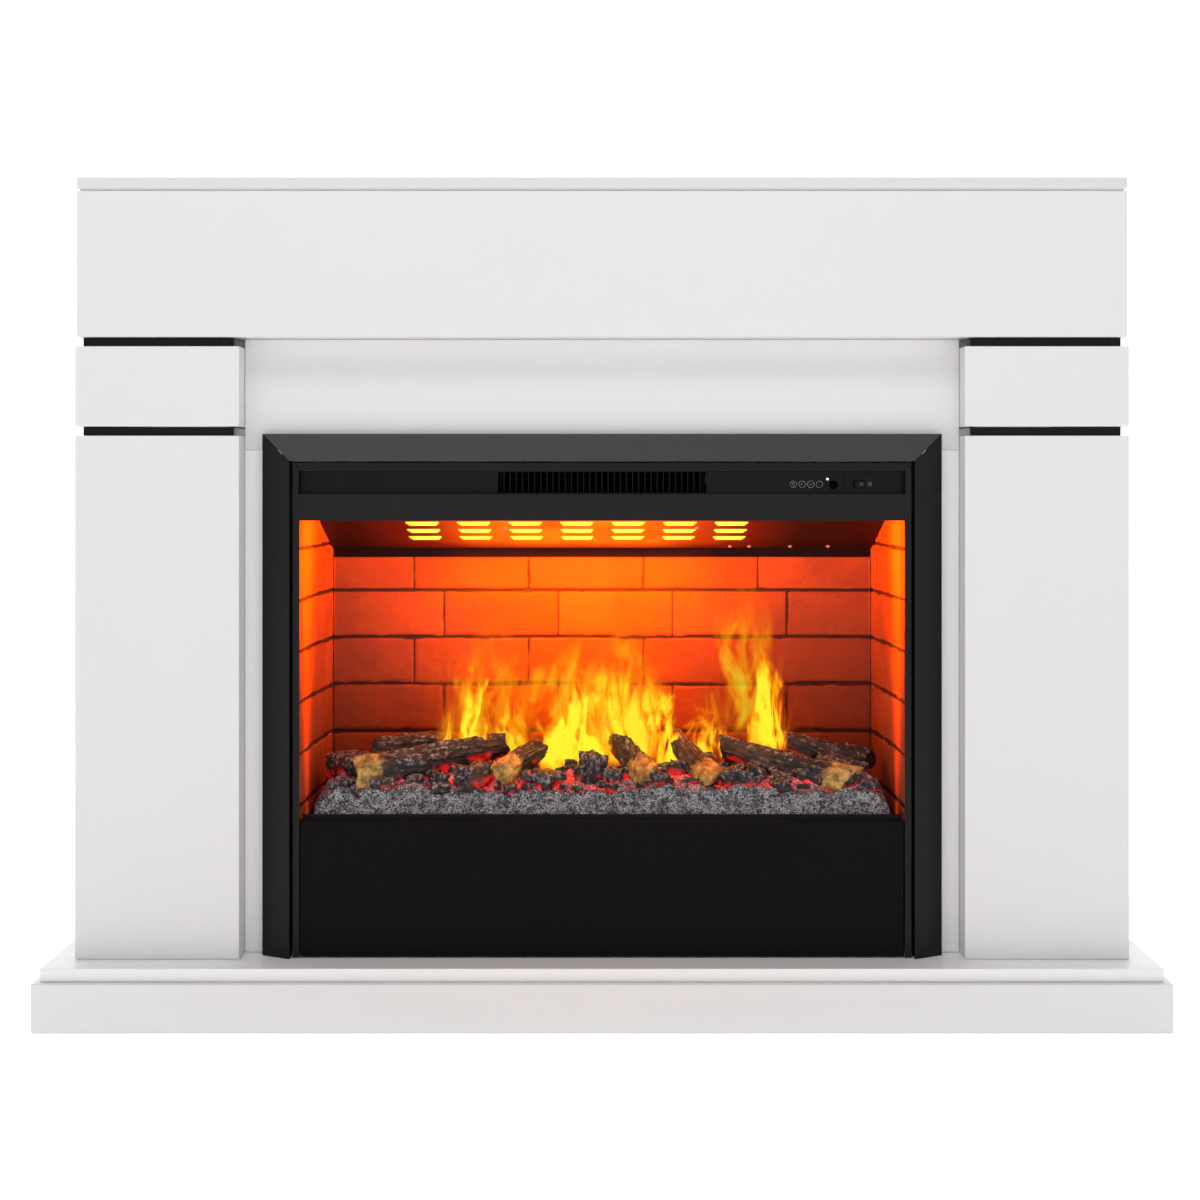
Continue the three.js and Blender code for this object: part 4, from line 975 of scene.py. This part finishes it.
# ---- Flames ----
FLAMES = [
    # x, y, base z, width, height, lean, density, seed, turn, smoke
    (-180, 84, 216, 85, 180, -0.15, 1.9, 3, 0, 0.1),
    (-160, 112, 222, 190, 240, -0.15, 1.0, 5, 10, 0.9),
    (-112, 92, 210, 120, 140, 0.20, 1.3, 8, -12, 0.4),
    (-34, 72, 202, 145, 190, -0.30, 2.1, 13, 0, 0.0),
    (6, 86, 206, 140, 230, -0.45, 1.7, 21, -10, 0.2),
    (-14, 108, 214, 260, 280, -0.20, 1.05, 17, 10, 0.8),
    (88, 76, 202, 105, 170, 0.55, 2.0, 27, 6, 0.0),
    (128, 96, 206, 100, 110, 0.10, 1.4, 31, 0, 0.3),
    (206, 90, 222, 85, 195, 0.20, 1.9, 37, 0, 0.0),
    (200, 114, 230, 165, 290, 0.15, 1.05, 41, 12, 0.9),
]


def flames():
    for number, (x, y, z, width, height, lean, density, seed, turn, smoke) in enumerate(FLAMES):
        columns, rows = 22, 34
        points = np.zeros((rows, columns, 3))
        across = np.zeros((rows, columns))
        upward = np.zeros((rows, columns))
        foot = design_point(x, y, z)
        angle = math.radians(turn)
        for i in range(rows):
            v = i / (rows - 1)
            for j in range(columns):
                u = 2 * j / (columns - 1) - 1
                side = u * width / 1000 * 0.62
                curl = 0.010 * (1 - u * u) - 0.006 + 0.007 * math.sin(v * 5 + seed)
                spot = Matrix.Rotation(angle, 3, "Z") @ Vector((side, curl, v * height / 1000))
                points[i, j] = foot + spot
                across[i, j] = u
                upward[i, j] = v
        mesh = grid_mesh(f"flame_{number}", points, {"u": across, "v": upward})
        new_object(f"flame_{number}", mesh, flame(f"flame_{number}", seed, lean, density, smoke))


# ---- Firebox light ----
def firebox_light():
    orange = (1.0, 0.20, 0.002)
    at, towards = design_point(-33, 152, 503), design_point(-33, 215, 300)
    area_light("heater_light", at, towards, (0.34, 0.03), 1.7, orange, 120)
    for x, z, power in ((-165, 290, 0.10), (-10, 310, 0.26), (85, 280, 0.12), (205, 300, 0.12)):
        point_light(f"flame_light_{x}", design_point(x, 60, z), power, (1.0, 0.30, 0.01), 0.03)


# ---- Ceiling fittings ----
def slope_point(x, up, out=0.0):
    """A point on the sloping ceiling: up is metres up the slope from its rear edge, out is below its face."""
    along = Vector((0, -math.cos(SLOPE), math.sin(SLOPE)))
    below = Vector((0, -math.sin(SLOPE), -math.cos(SLOPE)))
    return SLOPE_REAR + Vector((x, 0, 0)) + along * up + below * out


def louvre_lips(material):
    """The rolled lip round each louvre hole."""
    bm = bmesh.new()
    right = [(0.017, -0.010), (0.0225, 0.001), (0.021, 0.0085)]
    outline = [(-0.017, -0.010), *right, (-0.021, 0.0085), (-0.0225, 0.001)]
    for row in LOUVRE_ROWS:
        for x in LOUVRE_X:
            rings = []
            for grow, out in ((1.0, -0.0012), (1.0, 0.0003), (1.05, 0.0009), (1.10, 0.0005), (1.14, -0.0001)):
                ring = []
                for u, v in outline:
                    wide = u * (1 + (grow - 1) * 0.5)
                    ring.append(bm.verts.new(slope_point(x + wide, row + v * grow, out)))
                rings.append(ring)
            skin(bm, rings)
    finished_mesh("louvre_lips", bm, material)


def add_screw(bm, at, outward, radius, height, cross=True):
    """A pan-head screw: a turned dome with a cross recess, or a plain rivet."""
    axis = Vector(outward).normalized()
    side = axis.orthogonal().normalized()
    other = axis.cross(side)
    sectors = 24
    profile = [(1.0, 0.0), (1.0, 0.35), (0.9, 0.7), (0.7, 0.92), (0.42, 1.0), (0.2, 1.0)]
    rings = []
    for share, level in profile:
        ring = []
        for k in range(sectors):
            angle = 2 * math.pi * k / sectors
            sunk = 0.45 if cross and share < 0.5 and (k % 6 in (0, 1, 5)) else 0.0
            offset = side * math.cos(angle) * share + other * math.sin(angle) * share
            ring.append(bm.verts.new(Vector(at) + offset * radius + axis * height * (level - sunk)))
        rings.append(ring)
    skin(bm, rings)
    bm.faces.new(rings[-1])


def screws(name, places, material):
    bm = bmesh.new()
    for at, outward, radius, height, cross in places:
        add_screw(bm, at, outward, radius, height, cross)
    finished_mesh(name, bm, material, smooth=True)


def fasteners():
    bright = bright_screw()
    down = slope_point(0, 0, 1) - slope_point(0, 0, 0)
    ceiling = [(slope_point(x, 0.071), down, 0.0028, 0.0022, True) for x in (-0.127, 0.124)]
    for x in (0.172, 0.198, 0.253, 0.304):
        ceiling.append((slope_point(x, 0.006), down, 0.0026, 0.0018, False))
    screws("ceiling_screws", ceiling, louvre_lit_screw())
    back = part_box("casing_back")
    inset = 0.012
    sides = (back[0].x + inset, back[1].x - inset)
    spots = [(x, z) for x in np.linspace(*sides, 7) for z in (back[1].z - inset, back[0].z + inset)]
    spots += [(x, z) for z in np.linspace(back[0].z + 0.11, back[1].z - 0.11, 4) for x in sides]
    places = [((x, back[1].y, z), (0, 1, 0), 0.004, 0.0024, True) for x, z in spots]
    screws("casing_screws", places, bright)
    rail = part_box("rear_rail")
    places = []
    for x in (rail[0].x + 0.03, rail[0].x + 0.25, rail[1].x - 0.25, rail[1].x - 0.03):
        for z in (rail[0].z + 0.02, rail[1].z - 0.02):
            places.append(((x, rail[1].y, z), (0, 1, 0), 0.0042, 0.0012, True))
    screws("rail_screws", places, bright)


def add_turned(bm, at, profile, sectors=36):
    """A turned piece on an upright axis, from (radius, height) pairs, closed at the last pair."""
    rings = []
    for radius, height in profile:
        angles = np.linspace(0, 2 * math.pi, sectors, endpoint=False)
        offsets = [Vector((radius * math.cos(a), radius * math.sin(a), height)) for a in angles]
        rings.append([bm.verts.new(Vector(at) + offset) for offset in offsets])
    skin(bm, rings)
    bm.faces.new(rings[-1])


def add_bar(bm, centre, size, turn=0.0):
    """A small raised bar with rounded edges."""
    made = bmesh.ops.create_cube(bm, size=1.0)["verts"]
    spin = Matrix.Rotation(turn, 3, "Z")
    for vertex in made:
        vertex.co = Vector(centre) + spin @ Vector([c * s for c, s in zip(vertex.co, size)])
    edges = {edge for vertex in made for edge in vertex.link_edges}
    bmesh.ops.bevel(bm, geom=list(edges), offset=min(size) * 0.3, segments=2, affect="EDGES")


def drawer_details():
    """Moulded ribs and level marks on the tank, the cap's grip, and the mist discs in the slot nozzle."""
    low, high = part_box("water_tank")
    top = design_point(0, 0, 126).z
    bm = bmesh.new()
    for x in np.linspace(low.x + 0.125, high.x - 0.030, 5):
        add_bar(bm, (x, (low.y + high.y) / 2, top + 0.0002), (0.008, (high.y - low.y) * 0.72, 0.0024))
    for k in range(7):
        width = 0.026 if k % 3 == 0 else 0.014
        level = low.z + 0.024 + k * 0.012
        add_bar(bm, (high.x - 0.03 - width / 2, low.y - 0.0001, level), (width, 0.0012, 0.0011))
        add_bar(bm, (high.x - 0.0001, low.y + 0.03 + width / 2, level), (0.0012, width, 0.0011))
    finished_mesh("tank_ribs", bm, tank_plastic(), "drawer")
    low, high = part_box("tank_cap")
    middle, radius = (low + high) / 2, (high.x - low.x) / 2
    bm = bmesh.new()
    for k in range(24):
        turn = 2 * math.pi * k / 24
        place = middle + Vector((math.cos(turn), math.sin(turn), 0)) * radius
        add_bar(bm, (place.x, place.y, high.z - 0.0052), (0.0016, 0.0022, 0.0078), turn)
    add_bar(bm, (middle.x, middle.y, high.z + 0.0010), (radius * 1.5, 0.0042, 0.0034), 0.6)
    finished_mesh("cap_grip", bm, moulded_plastic("cap_moulding", (0.02, 0.05, 0.12), 0.4), "drawer")
    bm = bmesh.new()
    for x in (-130, -80, -30):
        place = design_point(x, 78, 0)
        place.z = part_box("mist_unit")[0].z + 0.0085
        rim = [(0.0125, 0.0), (0.0125, 0.0022), (0.0115, 0.003), (0.0098, 0.003)]
        add_turned(bm, place, [*rim, (0.0092, 0.0018), (0.0012, 0.0016)])
    finished_mesh("mist_discs", bm, bright_screw(), "drawer")
    low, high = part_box("drawer_tray")
    bm = bmesh.new()
    for side in (low.x, high.x):
        for y in np.linspace(low.y + 0.02, high.y - 0.02, 8):
            add_bar(bm, (side, y, (low.z + high.z) / 2), (0.0016, 0.003, (high.z - low.z) * 0.8))
    finished_mesh("tray_ribs", bm, moulded_plastic("tray_moulding", (0.006, 0.006, 0.006), 0.45), "drawer")


# ---- Controls ----
def ring_mark(bm, at, radius, thickness, sectors=40):
    """A thin printed ring, standing a hair proud of the face, facing the room."""
    rings = []
    for share, out in ((0, 0.0), (0.3, MARK_RISE), (0.7, MARK_RISE), (1, 0.0)):
        r = radius - thickness * share
        ring = []
        for a in np.linspace(0, 2 * math.pi, sectors, endpoint=False):
            ring.append(bm.verts.new((at[0] + r * math.cos(a), at[1] - out, at[2] + r * math.sin(a))))
        rings.append(ring)
    skin(bm, rings, inside_out=True)


def bar_mark(bm, at, half_width, half_height):
    """A thin printed bar, standing a hair proud of the face."""
    x, y, z = at
    rings = []
    for wide, high, out in ((1.0, 1.0, 0.0), (0.8, 0.9, MARK_RISE)):
        corners = ((-wide, -high), (wide, -high), (wide, high), (-wide, high))
        rings.append([bm.verts.new((x + u * half_width, y - out, z + v * half_height)) for u, v in corners])
    skin(bm, rings)
    bm.faces.new(rings[-1])


def control_marks():
    material = printed_mark()
    for number, key in enumerate(KEYS):
        low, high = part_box("button_" + key)
        x, y, z = (low.x + high.x) / 2, low.y - 0.00002, (low.z + high.z) / 2
        bm = bmesh.new()
        ring_mark(bm, (x, y, z), 0.0042, 0.00036)
        if number == 0:
            ring_mark(bm, (x, y, z), 0.0017, 0.0003, 28)
            bar_mark(bm, (x, y, z + 0.0014), 0.00018, 0.0008)
        elif number == 1:
            bar_mark(bm, (x - 0.0007, y, z), 0.00018, 0.0013)
            bar_mark(bm, (x + 0.0007, y, z), 0.00018, 0.0008)
        elif number == 2:
            bar_mark(bm, (x, y, z), 0.0013, 0.00018)
        finished_mesh(f"button_{key}_mark", bm, material, "key_" + key)


def face_spot(node, x, z):
    """Where a line running back from the front first meets a node, and how its face slopes there in plan."""
    mesh = NODES[node].data
    tree = BVHTree.FromPolygons([v.co for v in mesh.vertices], [p.vertices for p in mesh.polygons])
    spot, normal, _, _ = tree.ray_cast(Vector((x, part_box(node)[0].y - 0.05, z)), Vector((0, 1, 0)))
    return spot, math.atan2(normal.x, -normal.y)


def panel_marks():
    """The seam beside the switch, a round mark to its right, and the ring on the rocker's right half."""
    low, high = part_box("control_panel")
    middle = (low.z + high.z) / 2
    bm = bmesh.new()
    # Painted shade: the seam is a thin dark bar standing for the shade in the gap.
    bar_mark(bm, (0.2975, low.y - 0.00002, middle), 0.00035, (high.z - low.z) * 0.46)
    finished_mesh("panel_seam", bm, moulded_plastic("seam_shadow", (0.0006, 0.0006, 0.0006), 0.7))
    bm = bmesh.new()
    ring_mark(bm, (0.3292, low.y - 0.00002, middle - 0.0022), 0.0021, 0.0003, 24)
    bar_mark(bm, (0.3292, low.y - 0.00002, middle - 0.0022), 0.0006, 0.00015)
    finished_mesh("panel_mark", bm, printed_mark())
    low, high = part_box("power_rocker")
    spot, slope = face_spot("power_rocker", low.x + (high.x - low.x) * 0.66, (low.z + high.z) / 2)
    bm = bmesh.new()
    ring_mark(bm, (0, 0, 0), 0.0019, 0.00034, 28)
    bmesh.ops.transform(bm, matrix=Matrix.Rotation(slope, 4, "Z"), verts=bm.verts)
    bmesh.ops.translate(bm, vec=spot + Vector((0, -0.00002, 0)), verts=bm.verts)
    finished_mesh("rocker_mark", bm, printed_mark(), "rocker")


# ---- Surround and insert finishes ----
def faces_back(face):
    return face.normal.y > 0.6


def faces_hidden(face):
    return faces_back(face) or face.normal.z < -0.6


def reflector_outside(face):
    """The outer faces of the trough look away from its middle line."""
    middle = slope_point(0, 0.059, -0.014)
    return face.normal.dot(face.calc_center_median() - middle) > 0 or abs(face.normal.x) > 0.5


def is_unlit(face):
    return face.calc_center_median().z < SLOPE_REAR.z + 0.0005 or face.normal.z > 0.2


def tube_end(face):
    return abs(face.calc_center_median().x + 0.033) > 0.2495


def finish_surround():
    paint = painted_board()
    raw = raw_board()
    gloss = gloss_board()
    pairs = [f"{part}_{side}" for part in ("column", "capital") for side in ("left", "right")]
    for node in (*pairs, "mantel_shell", "header_panel", "rear_rail", "mantel_soffit"):
        refine(node, paint, 0.0011, 3, slot="white_board", second=raw, is_second=faces_back)
    # Painted light: the infill strips and the plinth's top get a brighter copy of the same white lacquer, for
    # light into the recess and onto the step.
    bright = painted_board("white_lacquer_painted_light", 0.93)
    for node in ("infill_left", "infill_right", "plinth_top"):
        refine(node, bright, 0.0011, 3, slot="white_board", second=raw, is_second=faces_back)
    # Painted shade: the top board gets a darker copy of the same white lacquer.
    top = painted_board("white_lacquer_painted_shade", 0.70)
    refine("top_board", top, 0.0009, 3, slot="white_board", second=raw, is_second=faces_back)
    refine("plinth_frame", paint, 0.0011, 3, slot="white_board", second=raw, is_second=faces_hidden)
    for node in ("upper_spacer_left", "upper_spacer_right", "lower_spacer_left", "lower_spacer_right"):
        refine(node, gloss, 0.0008, 2, slot="black_board")


def finish_insert():
    # Painted light and shade: the trim's top gets a lighter, glossier copy of the black powder coat and its
    # sides a darker one.
    trim = powder_coat("trim_coat", (0.020, 0.020, 0.020), (0.0255, 0.0255, 0.0255), 0.33, 0.42)
    sides = powder_coat("trim_side_coat", (0.0052, 0.0052, 0.0053), (0.0078, 0.0078, 0.0080), 0.18, 0.46)
    apron = powder_coat("apron_coat", (0.0045, 0.0042, 0.0044), (0.006, 0.0057, 0.0059), 0.05, 0.5)
    header = powder_coat("header_coat", (0.0100, 0.0090, 0.0093), (0.0132, 0.0122, 0.0124), 0.14, 0.42)
    # The ceiling panel and the louvre lips carry the heater's painted light.
    louvre_lit_ceiling = louvre_lit_coat()
    # Painted light: the flange under the ceiling and its upward faces get a darker copy of the black coat,
    # tinted dim red for the heater's light.
    strip = powder_coat("ceiling_flange_painted_red", (0.016, 0.004, 0.003), (0.026, 0.006, 0.004), 0.08, 0.6)
    tray = powder_coat("tray_coat", (0.008, 0.007, 0.007), (0.014, 0.012, 0.012), 0.2, 0.55)
    refine("trim_top", trim, 0.0007, 2, slot="black_steel")
    for node in ("trim_left", "trim_right"):
        refine(node, sides, 0.0007, 2, slot="black_steel")
    refine("front_bezel", header, 0.0005, 2, slot="black_steel")
    refine("drawer_front", apron, 0.0007, 3, body="drawer", slot="black_steel")
    refine("ceiling_panel", louvre_lit_ceiling, 0.0003, 1, slot="black_steel", second=strip, is_second=is_unlit)
    refine("bed_tray", tray, 0.0003, 1, slot="black_steel")
    louvre_lips(louvre_lit_ceiling)
    plastic = moulded_plastic("black_moulding", (0.0045, 0.0045, 0.0045), 0.42)
    panel = moulded_plastic("panel_moulding", (0.0018, 0.0018, 0.0019), 0.34)
    duct = moulded_plastic("duct_coating", (0.003, 0.003, 0.003), 0.6)
    refine("outlet_grille", plastic, 0.0002, 1, slot="black_plastic")
    refine("control_panel", panel, 0.0002, 1, slot="black_plastic")
    for key in KEYS:
        refine("button_" + key, plastic, 0.0004, 2, body="key_" + key, slot="black_plastic")
    refine("power_rocker", plastic, 0.0004, 2, body="rocker", slot="black_plastic")
    refine("status_led", lit_lens(), 0.0004, 3, slot="red_lens")
    refine("ir_window", receiver_window(), 0.0005, 3, slot="black_gloss")
    refine("control_board", circuit_board(), 0.0002, 1, slot="circuit_board")
    zinc = zinc_sheet()
    for node in ("casing_wrap", "casing_back", "casing_floor", "lamp_bar", "blower_motor"):
        refine(node, zinc, 0.0003, 1, slot="zinc_steel")
    refine("blower_housing", duct, 0.0003, 1, slot="zinc_steel")
    refine("blower_rotor", duct, 0.0001, 1, body="blower", slot="zinc_steel")
    refine("cord_inlet", plastic, 0.0004, 1, slot="black_plastic")
    # Painted light: the tube's light on the trough's inner faces is painted on as a glow; its outer faces
    # keep plain zinc.
    lit_trough = heater_glow("reflector_painted_glow", (1.0, 0.46, 0.006), (1.0, 0.70, 0.008), 1.3)
    unlit = {"second": zinc, "is_second": reflector_outside}
    refine("heater_reflector", lit_trough, 0.0003, 1, slot="zinc_steel", **unlit)
    lit_tube = heater_glow("tube_glow", (1.0, 0.66, 0.02), (1.0, 0.80, 0.04), 2.0)
    refine("quartz_tube", lit_tube, 0.0004, 1, slot="quartz", second=zinc, is_second=tube_end)
    for node in ("drawer_tray", "tank_cap", "mist_unit"):
        refine(node, plastic, 0.0008, 2, body="drawer", slot="black_plastic")
    refine("water_tank", tank_plastic(), 0.003, 3, body="drawer", slot="clear_plastic")
    refine("mist_fan_rotor", plastic, 0.0003, 1, body="mist_fan", slot="black_plastic")


make_camera()
make_studio()
finish_surround()
finish_insert()
brick_walls()
ember_bed()
coals()
logs()
flames()
firebox_light()
fasteners()
control_marks()
panel_marks()
drawer_details()
